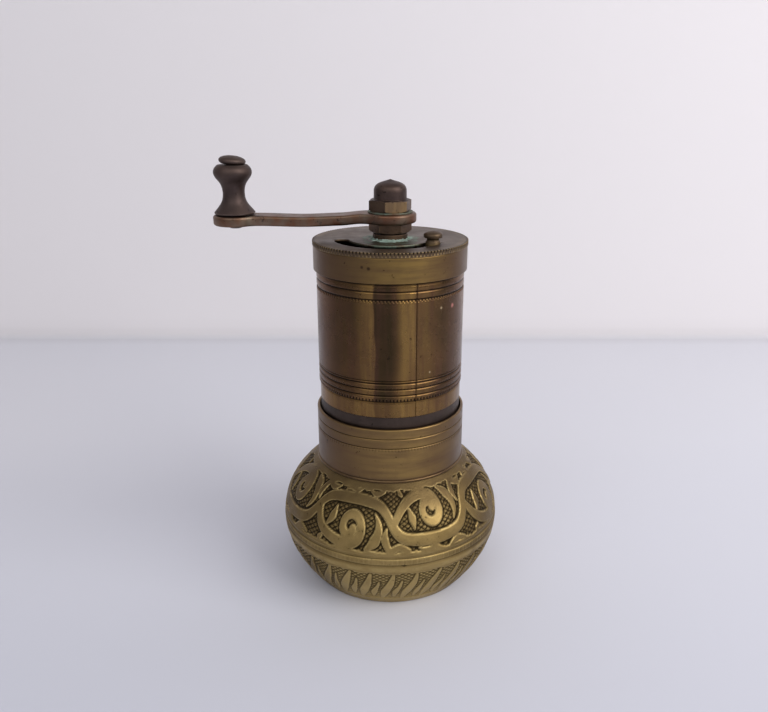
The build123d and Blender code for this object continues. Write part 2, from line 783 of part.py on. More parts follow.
export_step(acorn_nut.part, "parts/acorn_nut.step")

# ================================================================ knob

knob_axis = Axis(origin=(knob_x, knob_y, 0), direction=(0, 0, 1))
knob_section = Plane(origin=(knob_x, knob_y, 0), x_dir=(1, 0, 0), z_dir=(0, -1, 0))

# Spool shaped grip that turns on the pin.
with BuildPart() as knob_grip:
    with BuildSketch(knob_section):
        with BuildLine():
            Polyline(
                (grip_top_radius, grip_top),
                (grip_bore, grip_top),
                (grip_bore, grip_bottom),
                (grip_foot_radius, grip_bottom),
                (grip_foot_radius, grip_bottom + grip_foot_height),
            )
            Spline(
                (grip_foot_radius, grip_bottom + grip_foot_height),
                (grip_waist_radius, grip_bottom + grip_waist_height),
                (grip_bulge_radius, grip_bottom + grip_bulge_height),
                (grip_top_radius, grip_top),
                tangents=(grip_foot_slope, grip_top_slope),
            )
        make_face()
    revolve(axis=knob_axis)
knob_grip.part.label = "knob_grip"
export_step(knob_grip.part, "parts/knob_grip.step")

# Pin: riveted under the arm, with a domed head that has been hammered over to one side.
head_centre = grip_top + pin_head_neck
head_plane = Plane(
    origin=(knob_x, knob_y, head_centre),
    x_dir=(cos(radians(pin_head_tilt)), 0, -sin(radians(pin_head_tilt))),
    z_dir=(0, -1, 0),
)
head_axis = Axis(origin=(knob_x, knob_y, head_centre), direction=head_plane.y_dir)
with BuildPart() as knob_pin:
    with BuildSketch(Plane(origin=(knob_x, knob_y, bar_bottom))):
        Circle(pin_radius)
    extrude(amount=head_centre + pin_head_edge - bar_bottom)
    with BuildSketch(Plane(origin=(knob_x, knob_y, bar_bottom))):
        Circle(pin_tail_radius)
    extrude(amount=-pin_tail_height)
    with BuildSketch(head_plane):
        with BuildLine():
            Polyline(
                (0, pin_head_edge + pin_head_rise),
                (0, 0),
                (pin_head_radius - pin_head_edge / 2, 0),
            )
            ThreePointArc(
                (pin_head_radius - pin_head_edge / 2, 0),
                (pin_head_radius, pin_head_edge / 2),
                (pin_head_radius - pin_head_edge / 2, pin_head_edge),
            )
            RadiusArc(
                (pin_head_radius - pin_head_edge / 2, pin_head_edge),
                (0, pin_head_edge + pin_head_rise),
                -dome_radius(pin_head_radius - pin_head_edge / 2, pin_head_rise),
            )
        make_face()
    revolve(axis=head_axis)
knob_pin.part.label = "knob_pin"
export_step(knob_pin.part, "parts/knob_pin.step")
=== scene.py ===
"""Looks of the poppy seed mill: aged brass, bronze and iron round the fixed solids. Metres, +Z up."""

from math import cos, pi, radians, sin

import bmesh
import bpy
import numpy as np
from mathutils import Matrix, Vector


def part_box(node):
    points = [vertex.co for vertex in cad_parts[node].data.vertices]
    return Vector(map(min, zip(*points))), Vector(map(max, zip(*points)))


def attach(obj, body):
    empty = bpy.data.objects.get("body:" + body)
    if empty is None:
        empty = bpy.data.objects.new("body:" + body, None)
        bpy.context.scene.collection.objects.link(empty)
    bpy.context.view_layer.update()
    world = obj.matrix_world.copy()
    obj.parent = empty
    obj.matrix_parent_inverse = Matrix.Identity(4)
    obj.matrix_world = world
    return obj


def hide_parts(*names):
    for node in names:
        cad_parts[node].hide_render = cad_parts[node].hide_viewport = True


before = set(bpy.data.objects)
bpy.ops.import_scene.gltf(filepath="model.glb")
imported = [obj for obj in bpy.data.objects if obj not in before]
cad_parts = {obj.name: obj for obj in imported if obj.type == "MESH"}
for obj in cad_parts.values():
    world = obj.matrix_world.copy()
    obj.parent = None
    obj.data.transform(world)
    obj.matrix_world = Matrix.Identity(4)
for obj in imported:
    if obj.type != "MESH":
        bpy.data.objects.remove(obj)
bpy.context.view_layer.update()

MM = 0.001
TURN = 2 * pi
ON_AXIS = 1e-6  # radius below which a ring is one point


# ======== sizes read from the solids


def low(node):
    """Lowest corner of a node's box, in millimetres."""
    return Vector(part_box(node)[0]) / MM


def high(node):
    """Highest corner of a node's box, in millimetres."""
    return Vector(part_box(node)[1]) / MM


bowl_radius = high("cup_bowl").x
bowl_height = high("cup_bowl").z
collar_top = high("cup_collar").z
collar_foot = low("cup_collar").z
tube_bottom = low("barrel_tube").z
tube_top = high("barrel_tube").z
barrel_radius = high("barrel_tube").x
cap_bottom = low("cap_ring").z
cap_top = high("cap_ring").z
cap_radius = high("cap_ring").x
plate_radius = high("top_plate").x
plate_bottom = low("top_plate").z
plate_top = high("top_plate").z
neck_radius = high("neck_bush").x
neck_bottom = low("neck_bush").z
neck_top = high("neck_bush").z
nut_bottom = low("lower_nut").z
nut_top = high("lower_nut").z
nut_corner = high("lower_nut").x
hub_top = high("crank_arm").z
washer_radius = high("arm_washer").x
washer_bottom = low("arm_washer").z
washer_top = high("arm_washer").z
acorn_top = high("acorn_nut").z
pin_tail = low("knob_pin").z
grip_low, grip_high = low("knob_grip"), high("knob_grip")
grip_x = (grip_low.x + grip_high.x) / 2
grip_y = (grip_low.y + grip_high.y) / 2
shutter_low, shutter_high = low("shutter_knob"), high("shutter_knob")
shutter_x = (shutter_low.x + shutter_high.x) / 2
shutter_y = (shutter_low.y + shutter_high.y) / 2


# ======== sizes of the finer shapes

# Cup. Outlines are (radius, height) points.
collar_seat_radius = 23.85  # outside of the collar, where it sits in the bowl's mouth
bowl_throat_radius = collar_seat_radius + 0.03
belly_height = 20.3
bowl_wall = (
    (26.6, 0.0), (31.6, 6.9), (bowl_radius, belly_height), (32.0, 33.4), (collar_seat_radius, bowl_height),
)
bowl_foot = [(0, 0), (12, 0), (24, 0), (26.0, 0.0)]
bowl_inside = [
    (bowl_throat_radius, 40.0), (30.5, 33.0), (34.4, 22.0), (33.6, 16.0), (30.0, 7.0), (25.5, 1.5), (0, 1.5),
]
bowl_rows = 146
bowl_segments = 672
collar_bore = 22.9
collar_segments = 600
collar_bead_radius = 0.44
collar_bead_height = 41.95
collar_grooves = (56.0, 52.9)
collar_tick_height = 52.25
collar_tick_count = 150

# Relief of the bowl. Its heights run along the curved wall from the belly: up is positive.
relief_depth = 0.5
scroll_low = 3.8
scroll_high = 22.9
scroll_count = 8
scroll_stretch = 1.3  # the scrolls are drawn 14 high and fill a belt this much higher
scroll_hatch_pitch = 1.55
leaf_low = -18.5
leaf_high = -3.6
leaf_count = 30
leaf_stretch = 1.05
leaf_hatch_pitch = 1.3
drawing_radius = 33.5  # radius at which the motifs have their drawn width
scroll_hatch_radius = 31.0
leaf_hatch_radius = 29.0
belt_lines = (2.3, 1.75, -0.45, -1.0)
belt_tick_count = 260
# Degrees and radius of the curl at the end of each branch.
curl_path = (
    (-90, 3.7), (-45, 3.65), (0, 3.5), (45, 3.35), (90, 3.15),
    (135, 2.85), (180, 2.5), (225, 2.1), (280, 1.6), (340, 1.0),
)

# Barrel and its cap.
rim_tick_count = 136  # milled edges of the tube and of the top plate
rim_segments = 8 * rim_tick_count
strip_radius = 22.63  # plain strip at the tube's foot
strip_top = 67.9
tube_bore = 22.12
seam_angle = -70.3  # degrees from +X
seam_width = 0.0055  # radians
tube_tick_heights = (68.45, 72.25, 98.8)
# Height and half width of the turned grooves.
tube_grooves = (
    (67.85, 0.3), (69.87, 0.25), (71.84, 0.25), (73.7, 0.3), (74.5, 0.12),
    (99.3, 0.32), (101.6, 0.28), (103.9, 0.45),
)
cap_wall = 0.75
plate_under = plate_top - 0.8
plate_hole_radius = 4.93
plate_seat_radius = 22.17
slot_radius = 15.3  # the fill slot's middle line
slot_half_width = 2.38
slot_start = -162  # degrees from +X to the middle of each round end
slot_end = -34
slot_inner_wall = (12.0, 13.4)  # radii that hold the wall on the axis' side

# Hub and crank.
shaft_bore = 3.08
bush_tail_radius = 4.88
nut_bore = 3.02
washer_bore = 2.5
hub_radius = 8.0
hub_fillet = 9.0
eye_radius = 6.595
eye_fillet = 5.0
arm_length = 46.9
arm_half_width = 4.0
arm_thickness = 3.0
arm_rounding = 0.75
arm_angle = 182.0  # degrees from +X
acorn_corner = 6.75
acorn_hex_turn = 43  # degrees back from +X to a corner
acorn_hex_height = 3.5
acorn_radius = 5.0
acorn_wall_height = 2.4
# Radius, and distance below the top, along the dome.
acorn_dome = (
    (4.96, 2.95), (4.75, 2.3), (4.3, 1.68), (3.6, 1.2), (2.7, 0.84), (1.7, 0.54), (0.8, 0.26), (0.3, 0.09),
)

# Knobs. Outlines are (radius, height) points above the piece's foot.
grip_bore = 1.98
grip_outline = (
    (6.1, 0.5), (4.75, 2.1), (3.8, 3.5), (3.25, 6.2), (3.5, 8.0), (4.15, 9.4),
    (5.0, 10.5), (5.7, 12.2), (5.25, 13.6), (4.4, 14.4),
)
pin_radius = 1.85
pin_lean = 6.0  # degrees that the hammered head leans to the shaft
pin_head_outline = (
    (0, -0.1), (2.5, -0.1), (3.3, 0.05), (3.8, 0.4), (4.0, 0.85), (3.9, 1.3), (3.45, 1.74),
    (2.6, 2.1), (1.6, 2.33), (0.7, 2.42), (0, 2.43),
)
shutter_head_height = 2.1
# Radius, and height above the foot of the head.
shutter_crown = (
    (2.2, -1.15), (2.12, -0.95), (1.9, -0.75), (1.78, -0.45), (1.86, -0.2), (2.1, -0.06), (2.6, 0.02),
    (2.76, 0.12), (2.8, 0.4), (2.8, 0.95), (2.68, 1.2), (2.4, 1.47), (1.8, 1.77), (1.0, 1.99), (0.4, 2.08),
)
crust_section = (
    (0.0, 0.0), (2.2, 0.0), (2.0, 0.06), (1.5, 0.16), (1.0, 0.08), (0.6, 0.14), (0.3, 0.36), (0.0, 0.5),
)

# Floor and wall.
wall_place = 0.2553
corner_radius = 0.004
floor_level = -0.00001
sheet_half_width = 1.6
sheet_front = -1.2
wall_height = 1.6


# ======== colours

# Painted reflections, light and dark bands round the turned pieces as seen from the front:
# degrees round from the front, sheen_and_rub share, shade_and_oxide share.
tube_reflection_bands = (
    (-180, 0.3, 0.4), (-150, 0.7, 0.1), (-135, 0.2, 0.2), (-110, 0.4, 0.5), (-75, 0.1, 0.2), (-60, 0.08, 0.2),
    (-46, 0.05, 0.7), (-28, 0.25, 0.7), (-20, 0.6, 0.35), (-12, 0.75, 0.1), (-11, 0.1, 1.0), (0, 0.0, 1.0),
    (5, 0.3, 0.55), (9, 0.75, 0.2), (17, 0.8, 0.15), (19.5, 0.5, 0.3), (20.5, 0.5, 0.35), (30, 0.45, 0.45),
    (42, 0.15, 0.75), (55, 0.05, 0.6), (75, 0.1, 0.1), (110, 0.5, 0.2), (120, 0.8, 0.1), (135, 0.2, 0.7),
    (160, 0.5, 0.3), (180, 0.3, 0.4),
)
ring_reflection_bands = (
    (-180, 0.4, 0.3), (-120, 0.7, 0.1), (-90, 0.2, 0.4), (-60, 0.05, 0.5), (-35, 0.15, 0.35), (-10, 0.6, 0.0),
    (8, 0.95, 0.0), (22, 0.9, 0.0), (34, 0.5, 0.1), (52, 0.2, 0.35), (75, 0.1, 0.6), (110, 0.6, 0.2),
    (150, 0.3, 0.5), (180, 0.4, 0.3),
)

VERDIGRIS = (0.21, 0.28, 0.22)
RED_FLECK = (0.5, 0.2, 0.16)
PALE_FLECK = (0.5, 0.38, 0.22)
FLOOR_COLOUR = (0.7, 0.71, 0.775)
FLOOR_SHADE = (0.74, 0.74, 0.79)
# Painted shade on the floor towards the front.
FLOOR_FRONT_SHADE = (0.56, 0.58, 0.67)
WALL_COLOUR = (0.82, 0.793, 0.813)
# Painted shade in the corner where floor and wall meet.
CORNER_SHADE_COLOUR = (0.5, 0.48, 0.5)


# ======== outlines and number tools


def smooth_step(low_edge, high_edge, value):
    """0 below the low edge, 1 above the high edge, smooth between."""
    t = np.clip((value - low_edge) / (high_edge - low_edge), 0, 1)
    return t * t * (3 - 2 * t)


def bump_at(value, centre, width):
    """1 at the centre, falling smoothly to 0 about one width away."""
    return np.exp(-(((value - centre) / width) ** 2))


def ticks(angles, count):
    """Milled notches round a piece: 1 at the bottom of a notch, 0 on the land between."""
    wave = 0.5 + 0.5 * np.cos(angles * count)
    return smooth_step(0.35, 0.85, wave)


def levels(start, end, step=0.3):
    """Heights from start to end, about a step apart, both ends included."""
    count = max(2, int(round((end - start) / step)) + 1)
    return np.linspace(start, end, count)


def eased(points, radius=0.15, steps=4, support=0.12):
    """Rounds the corners of a (radius, height) outline, with a support point beside each curve."""
    points = [np.array(p, dtype=float) for p in points]
    result = [points[0]]
    for before, corner, after in zip(points, points[1:], points[2:], strict=False):
        back_length = np.linalg.norm(before - corner)
        forward_length = np.linalg.norm(after - corner)
        back = (before - corner) / back_length
        forward = (after - corner) / forward_length
        reach = min(radius, 0.4 * back_length, 0.4 * forward_length)
        start = corner + back * reach
        end = corner + forward * reach
        if back_length > 4 * reach:
            result.append(start + back * support)
        for step in range(steps + 1):
            t = step / steps
            result.append((1 - t) ** 2 * start + 2 * t * (1 - t) * corner + t**2 * end)
        if forward_length > 4 * reach:
            result.append(end + forward * support)
    result.append(points[-1])
    return np.array(result)


def spline(points, count):
    """Natural cubic spline through points, at count places along it."""
    points = np.array(points, dtype=float)
    steps = np.linalg.norm(np.diff(points, axis=0), axis=1)
    knots = np.concatenate([[0], np.cumsum(steps)])
    size = len(points)
    system = np.eye(size)
    right = np.zeros_like(points)
    for i in range(1, size - 1):
        before, after = steps[i - 1], steps[i]
        system[i, i - 1 : i + 2] = (before, 2 * (before + after), after)
        right[i] = 6 * ((points[i + 1] - points[i]) / after - (points[i] - points[i - 1]) / before)
    bend = np.linalg.solve(system, right)
    places = np.linspace(0, knots[-1], count)
    index = np.clip(np.searchsorted(knots, places, side="right") - 1, 0, size - 2)
    span = steps[index][:, None]
    t = (places - knots[index])[:, None]
    start, end = points[index], points[index + 1]
    start_bend, end_bend = bend[index], bend[index + 1]
    return (
        start_bend * (span - t) ** 3 / (6 * span)
        + end_bend * t**3 / (6 * span)
        + (start / span - start_bend * span / 6) * (span - t)
        + (end / span - end_bend * span / 6) * t
    )


def corner_rub_and_glint(outline):
    """Edge rubbing and painted edge highlight share: 1 at the outward corners of an outline, 0 on its
    straight runs.
    """
    before = outline - np.roll(outline, 1, axis=0)
    after = np.roll(outline, -1, axis=0) - outline
    cross = before[:, 0] * after[:, 1] - before[:, 1] * after[:, 0]
    size = np.linalg.norm(before, axis=1) * np.linalg.norm(after, axis=1) + 1e-9
    rub_and_glint_strength = np.clip(cross / size * 3, 0, 1)
    rub_and_glint_strength[0] = rub_and_glint_strength[-1] = 0
    return rub_and_glint_strength


# ======== mesh tools


def finish_mesh(name, vertices, faces, smooth_angle=40.0):
    """Makes an object of millimetre vertices, shaded smooth below an angle between faces."""
    mesh = bpy.data.meshes.new(name)
    mesh.from_pydata((np.asarray(vertices) * MM).tolist(), [], faces)
    mesh.update()
    mesh.shade_smooth()
    mesh.set_sharp_from_angle(angle=radians(smooth_angle))
    piece = bpy.data.objects.new(name, mesh)
    bpy.context.collection.objects.link(piece)
    return piece


def strip_faces(rows, around, closed=True):
    """Faces between rows of vertices that have around vertices each."""
    faces = []
    for i in range(rows - 1):
        for j in range(around if closed else around - 1):
            k = (j + 1) % around
            faces.append([i * around + j, i * around + k, (i + 1) * around + k, (i + 1) * around + j])
    return faces


def lathe(name, outline, segments=128, centre=(0, 0), shape=None, smooth_angle=40.0):
    """Turns a closed (radius, height) outline round a vertical axis.

    shape(angles, radii, heights) may return new radii and heights for the whole grid. Rings of
    no radius become one point.
    """
    outline = np.asarray(outline, dtype=float)
    angles = np.arange(segments) * TURN / segments
    radii = np.repeat(outline[:, 0][:, None], segments, axis=1)
    heights = np.repeat(outline[:, 1][:, None], segments, axis=1)
    if shape:
        radii, heights = shape(np.repeat(angles[None, :], len(outline), axis=0), radii, heights)
    rings = []
    vertices = []
    for i in range(len(outline)):
        if outline[i, 0] < ON_AXIS:
            rings.append([len(vertices)] * segments)
            vertices.append((centre[0], centre[1], outline[i, 1]))
            continue
        rings.append(list(range(len(vertices), len(vertices) + segments)))
        x = centre[0] + radii[i] * np.cos(angles)
        y = centre[1] + radii[i] * np.sin(angles)
        vertices.extend(zip(x, y, heights[i], strict=True))
    pairs = list(zip(rings, rings[1:], strict=False))
    ends_on_axis = outline[0, 0] < ON_AXIS and outline[-1, 0] < ON_AXIS
    if not ends_on_axis:
        pairs.append((rings[-1], rings[0]))
    faces = []
    for lower, upper in pairs:
        for j in range(segments):
            k = (j + 1) % segments
            corners = list(dict.fromkeys([lower[j], lower[k], upper[k], upper[j]]))
            if len(corners) > 2:
                faces.append(corners)
    return finish_mesh(name, vertices, faces, smooth_angle)


def ring_values(outline, values):
    """Per vertex values for a lathe piece, from a grid with one row for each outline point."""
    rows = []
    for i, point in enumerate(np.asarray(outline)):
        rows.append(values[i, :1] if point[0] < ON_AXIS else values[i])
    return np.concatenate(rows)


def places(piece):
    """Angle, radius and height of every vertex, in radians and millimetres."""
    points = np.empty(3 * len(piece.data.vertices))
    piece.data.vertices.foreach_get("co", points)
    x, y, z = points.reshape(-1, 3).T / MM
    return np.arctan2(y, x), np.hypot(x, y), z


def paint(piece, name, values):
    """Stores one number per vertex, read by the materials. Replaces numbers of the same name."""
    attributes = piece.data.attributes
    if name in attributes:
        attributes.remove(attributes[name])
    attribute = attributes.new(name, "FLOAT", "POINT")
    attribute.data.foreach_set("value", np.asarray(values, dtype=np.float32).ravel())


def edge_paint(piece, share=0.3):
    """Paints recess and rub_and_glint, edge rubbing with painted edge highlight, for a small piece from how
    its faces meet.
    """
    mesh = piece.data
    normals = np.zeros((len(mesh.vertices), 3))
    count = np.zeros(len(mesh.vertices))
    for face in mesh.polygons:
        for vertex in face.vertices:
            normals[vertex] += face.normal
            count[vertex] += 1
    spread = 1 - np.linalg.norm(normals, axis=1) / np.maximum(count, 1)
    # Edge rubbing and painted edge highlight on the sharp edges.
    paint(piece, "rub_and_glint", np.clip(spread / share, 0, 1))
    paint(piece, "recess", np.zeros(len(mesh.vertices)))
    return piece


def turned(name, outline, segments, marks_at, depth, outside, rub_and_glint_strength=0.8):
    """Lathe piece with marks cut into the faces beyond a radius, and recess and rub_and_glint, edge rubbing
    with painted edge highlight, painted on.
    """
    outline = np.asarray(outline, dtype=float)
    angle_grid = np.repeat((np.arange(segments) * TURN / segments)[None, :], len(outline), axis=0)
    height_grid = np.repeat(outline[:, 1:2], segments, axis=1)
    marks = marks_at(angle_grid, height_grid) * (outline[:, 0:1] > outside)

    def shape(_angles, radii, heights):
        return radii - depth * marks, heights

    piece = lathe(name, outline, segments, shape=shape, smooth_angle=50)
    paint(piece, "recess", ring_values(outline, np.clip(marks, 0, 1)))
    # Edge rubbing and painted edge highlight beside the marks and on the outward corners.
    edges = np.clip(np.abs(np.gradient(marks, axis=0)) * 1.5, 0, 1) * (marks < 0.5)
    paint(piece, "rub_and_glint", rub_and_glint_strength * ring_values(outline, edges + corner_rub_and_glint(outline)[:, None]))
    return piece


def reflection_shares(piece, stops):
    """Painted reflection shares at each vertex, from (degrees from the front, sheen_and_rub, shade_and_oxide)
    stops.
    """
    angles, _radii, heights = places(piece)
    turn = (np.degrees(angles) + 90 + 180) % 360 - 180
    drift = 0.6 * np.sin(heights * 0.21) + 0.3 * np.sin(heights * 0.57 + 1)
    degrees, sheen_and_rub, shade_and_oxide = zip(*stops, strict=True)
    return np.interp(turn + drift, degrees, sheen_and_rub), np.interp(turn + drift, degrees, shade_and_oxide)


def with_modifiers(piece):
    """Writes a piece's modifiers into its mesh."""
    graph = bpy.context.evaluated_depsgraph_get()
    mesh = bpy.data.meshes.new_from_object(piece.evaluated_get(graph))
    piece.modifiers.clear()
    piece.data = mesh


def weld(piece):
    """Joins points that coincide and turns all faces outward."""
    builder = bmesh.new()
    builder.from_mesh(piece.data)
    bmesh.ops.remove_doubles(builder, verts=builder.verts, dist=0.00002)
    bmesh.ops.recalc_face_normals(builder, faces=builder.faces)
    builder.to_mesh(piece.data)
    builder.free()


def hexed(corner_radius, turn, bottom, top):
    """Shape function that cuts a lathe piece to a hexagon between two heights."""
    flat = corner_radius * cos(pi / 6)

    def shape(angles, radii, heights):
        side = (angles - radians(turn)) % (pi / 3) - pi / 6
        limit = flat / np.cos(side)
        inside = (heights > bottom - 0.001) & (heights < top + 0.001)
        return np.where(inside, np.minimum(radii, limit), radii), heights

    return shape


# ======== material tools


class Nodes:
    """A material's node tree, with short calls for the nodes that the metals share."""

    def __init__(self, name):
        self.material = bpy.data.materials.new(name)
        self.material.use_nodes = True
        self.tree = self.material.node_tree
        self.shader = self.tree.nodes["Principled BSDF"]
        self.place = self.tree.nodes.new("ShaderNodeTexCoord").outputs["Object"]

    def put(self, socket, value):
        """Sets an input, or links it where the value is another node's output."""
        if isinstance(value, bpy.types.NodeSocket):
            self.tree.links.new(value, socket)
        else:
            socket.default_value = value

    def fill(self, node, **values):
        """Puts values in a node's inputs. An underscore stands for a space in an input's name."""
        for name, value in values.items():
            self.put(node.inputs[name.replace("_", " ")], value)
        return node

    def add(self, kind, **values):
        """A new node with its inputs filled."""
        return self.fill(self.tree.nodes.new(kind), **values)

    def noise(self, scale, detail=4.0, rough=0.55, stretch=(1, 1, 1)):
        """Noise from 0 to 1, in blotches per metre. stretch packs it closer along the axes."""
        place = self.add("ShaderNodeMapping", Vector=self.place, Scale=stretch).outputs["Vector"]
        node = self.add("ShaderNodeTexNoise", Vector=place, Scale=scale, Detail=detail, Roughness=rough)
        return node.outputs["Fac"]

    def ramp(self, value, low, high, start=0.0, end=1.0):
        """Maps low..high to start..end, clamped."""
        node = self.add(
            "ShaderNodeMapRange", Value=value, From_Min=low, From_Max=high, To_Min=start, To_Max=end
        )
        return node.outputs["Result"]

    def maths(self, operation, first, second):
        """One sum on two values, each a number or an output."""
        node = self.add("ShaderNodeMath")
        node.operation = operation
        self.put(node.inputs[0], first)
        self.put(node.inputs[1], second)
        return node.outputs["Value"]

    def mix(self, factor, first, second):
        """Mixes two colours, each a triple or an output."""
        node = self.add("ShaderNodeMix")
        node.data_type = "RGBA"
        sockets = {socket.identifier: socket for socket in node.inputs}
        self.put(sockets["Factor_Float"], factor)
        for name, colour in (("A_Color", first), ("B_Color", second)):
            self.put(sockets[name], (*colour, 1.0) if isinstance(colour, tuple) else colour)
        return next(socket for socket in node.outputs if socket.identifier == "Result_Color")

    def attribute(self, name):
        """The number painted on each vertex under a name, 0 where there is none."""
        node = self.add("ShaderNodeAttribute")
        node.attribute_name = name
        return node.outputs["Fac"]

    def uneven(self, name, scale, low, high, least=0.0, detail=4.0, rough=0.55):
        """A painted share, broken up by noise that leaves at least a part of it."""
        part = self.ramp(self.noise(scale, detail, rough), low, high, least, 1.0)
        return self.maths("MULTIPLY", self.attribute(name), part)

    def near(self, place, radius):
        """0.9 at a place on the object, 0 beyond a radius, both in millimetres."""
        node = self.add("ShaderNodeVectorMath")
        node.operation = "DISTANCE"
        self.put(node.inputs[0], self.place)
        self.put(node.inputs[1], tuple(value * MM for value in place))
        return self.ramp(node.outputs["Value"], 0.4 * radius * MM, radius * MM, 0.9, 0.0)

    def finish(self, colour, rough, bump, depth, metal=0.0):
        """Fills the shader: colour, roughness, and bump of a height, its depth in metres."""
        normal = self.add("ShaderNodeBump", Strength=0.6, Distance=depth, Height=bump).outputs["Normal"]
        self.fill(self.shader, Base_Color=colour, Metallic=metal, Roughness=rough, Normal=normal)
        return self.material


def patina_colour(nodes, body, shade, bright, recess, patches, spots, streaks, shade_and_oxide_colour, small_marks):
    """Colour of aged metal with painted sheen, painted shade and painted edge highlight mixed in, and the
    hollow and stain shares that also make it rougher.
    """
    colour = nodes.mix(nodes.ramp(nodes.noise(patches, 5.0, 0.6), 0.38, 0.62), body, shade)
    # Painted sheen and reflections, and rubbed brass, where sheen_and_rub is painted.
    colour = nodes.mix(nodes.uneven("sheen_and_rub", 170.0, 0.2, 0.5, least=0.5), colour, bright)
    # Painted shade, dark reflections and darker oxide where shade_and_oxide is painted.
    shade_and_oxide_colour = shade_and_oxide_colour or tuple(0.55 * channel for channel in shade)
    colour = nodes.mix(nodes.uneven("shade_and_oxide", 120.0, 0.2, 0.6, least=0.6), colour, shade_and_oxide_colour)
    if streaks:
        marks = nodes.ramp(nodes.noise(90.0, 4.0, 0.6, streaks), 0.42, 0.68, 0.0, 0.6)
        colour = nodes.mix(marks, colour, shade)
    specks = nodes.ramp(nodes.noise(520.0, 3.0, 0.7), spots, spots + 0.06, 0.0, 0.75)
    colour = nodes.mix(specks, colour, recess)
    # Edge rubbing and painted edge highlight where rub_and_glint is painted.
    colour = nodes.mix(nodes.uneven("rub_and_glint", 260.0, 0.3, 0.6), colour, bright)
    hollow = nodes.ramp(nodes.attribute("recess"), 0.32, 1.0)
    colour = nodes.mix(hollow, colour, recess)
    stain = nodes.uneven("stain", 420.0, 0.4, 0.58, detail=5.0, rough=0.7)
    colour = nodes.mix(stain, colour, VERDIGRIS)
    for place, radius, mark in small_marks:
        colour = nodes.mix(nodes.near(place, radius), colour, mark)
    return colour, hollow, stain


def patina(
    name, body, shade, bright, recess, rough, patches=55.0, spots=0.66, streaks=None,
    grain=0.00002, metal=1.0, shade_and_oxide_colour=None, small_marks=(),
):
    """Aged metal. body and shade mix in patches; recess fills hollows; bright shows on rubbed edges, with
    painted edge highlight, and as painted sheen and reflection.

    rough is the lowest and the highest roughness. patches is in blotches per metre, and spots is the
    level above which noise turns to specks of the recess colour. streaks is the stretch of long marks,
    along a drawn tube or round a turned ring. shade_and_oxide_colour shows where shade_and_oxide is
    painted: painted shade, darker reflections and darker oxide. small_marks are single spots, each a
    place and a radius in millimetres and a colour.
    """
    nodes = Nodes(name)
    colour, hollow, stain = patina_colour(
        nodes, body, shade, bright, recess, patches, spots, streaks, shade_and_oxide_colour, small_marks
    )
    gloss = nodes.ramp(nodes.noise(140.0, 6.0, 0.65), 0.3, 0.7, rough[0], rough[1])
    gloss = nodes.maths("ADD", gloss, nodes.maths("MULTIPLY", nodes.maths("MAXIMUM", hollow, stain), 0.25))
    dents = nodes.maths("MULTIPLY", nodes.noise(150.0, 3.0, 0.5), 2.0)
    bump = nodes.maths("ADD", nodes.noise(1800.0, 4.0, 0.7), dents)
    return nodes.finish(colour, gloss, bump, grain, metal)


ROUND_MARKS = (0.5, 0.5, 6.0)
LONG_MARKS = (5.0, 5.0, 0.35)

BOWL = patina(
    "aged_cast_brass", body=(0.31, 0.215, 0.082), shade=(0.205, 0.138, 0.05), bright=(0.54, 0.405, 0.17),
    recess=(0.028, 0.02, 0.01), shade_and_oxide_colour=(0.12, 0.081, 0.038), rough=(0.38, 0.56), patches=130.0,
    spots=0.65, grain=0.00016,
)
COLLAR = patina(
    "aged_turned_brass", body=(0.18, 0.11, 0.05), shade=(0.13, 0.077, 0.044), bright=(0.31, 0.2, 0.072),
    recess=(0.022, 0.014, 0.008), shade_and_oxide_colour=(0.105, 0.069, 0.043), rough=(0.28, 0.42), streaks=ROUND_MARKS,
)
BARREL = patina(
    "copper_brown_brass", body=(0.18, 0.084, 0.042), shade=(0.1, 0.049, 0.032), bright=(0.34, 0.205, 0.062),
    recess=(0.012, 0.008, 0.006), shade_and_oxide_colour=(0.05, 0.034, 0.016), rough=(0.2, 0.32), patches=38.0,
    streaks=LONG_MARKS,
    small_marks=(
        ((18.5, -13.6, 95.5), 0.9, RED_FLECK),
        ((15.0, -17.4, 95.7), 0.5, PALE_FLECK),
        ((11.8, -19.7, 76.5), 0.4, PALE_FLECK),
    ),
)
CAP = patina(
    "olive_turned_brass", body=(0.165, 0.1, 0.045), shade=(0.12, 0.07, 0.038), bright=(0.29, 0.185, 0.058),
    recess=(0.018, 0.012, 0.007), shade_and_oxide_colour=(0.085, 0.052, 0.04), rough=(0.26, 0.4), streaks=ROUND_MARKS,
    small_marks=(
        ((-6.1, -22.9, 108.6), 0.7, (0.04, 0.025, 0.015)),
        ((-8.0, -22.3, 108.9), 0.6, (0.05, 0.03, 0.018)),
    ),
)
PLATE = patina(
    "dull_turned_plate", body=(0.12, 0.083, 0.052), shade=(0.09, 0.061, 0.042), bright=(0.34, 0.24, 0.11),
    recess=(0.012, 0.009, 0.006), rough=(0.36, 0.52), patches=70.0,
)
HUB = patina(
    "brown_bronze", body=(0.17, 0.108, 0.068), shade=(0.09, 0.06, 0.045), bright=(0.3, 0.21, 0.12),
    recess=(0.018, 0.013, 0.01), rough=(0.36, 0.55), patches=160.0, spots=0.6,
)
ARM = patina(
    "red_brown_bronze", body=(0.165, 0.125, 0.09), shade=(0.155, 0.07, 0.04), bright=(0.5, 0.41, 0.32),
    recess=(0.025, 0.016, 0.012), rough=(0.34, 0.52), patches=150.0, spots=0.6,
)
DARK = patina(
    "black_brown_patina", body=(0.1, 0.07, 0.06), shade=(0.072, 0.052, 0.047), bright=(0.14, 0.105, 0.09),
    recess=(0.012, 0.009, 0.008), rough=(0.48, 0.6), patches=130.0,
)
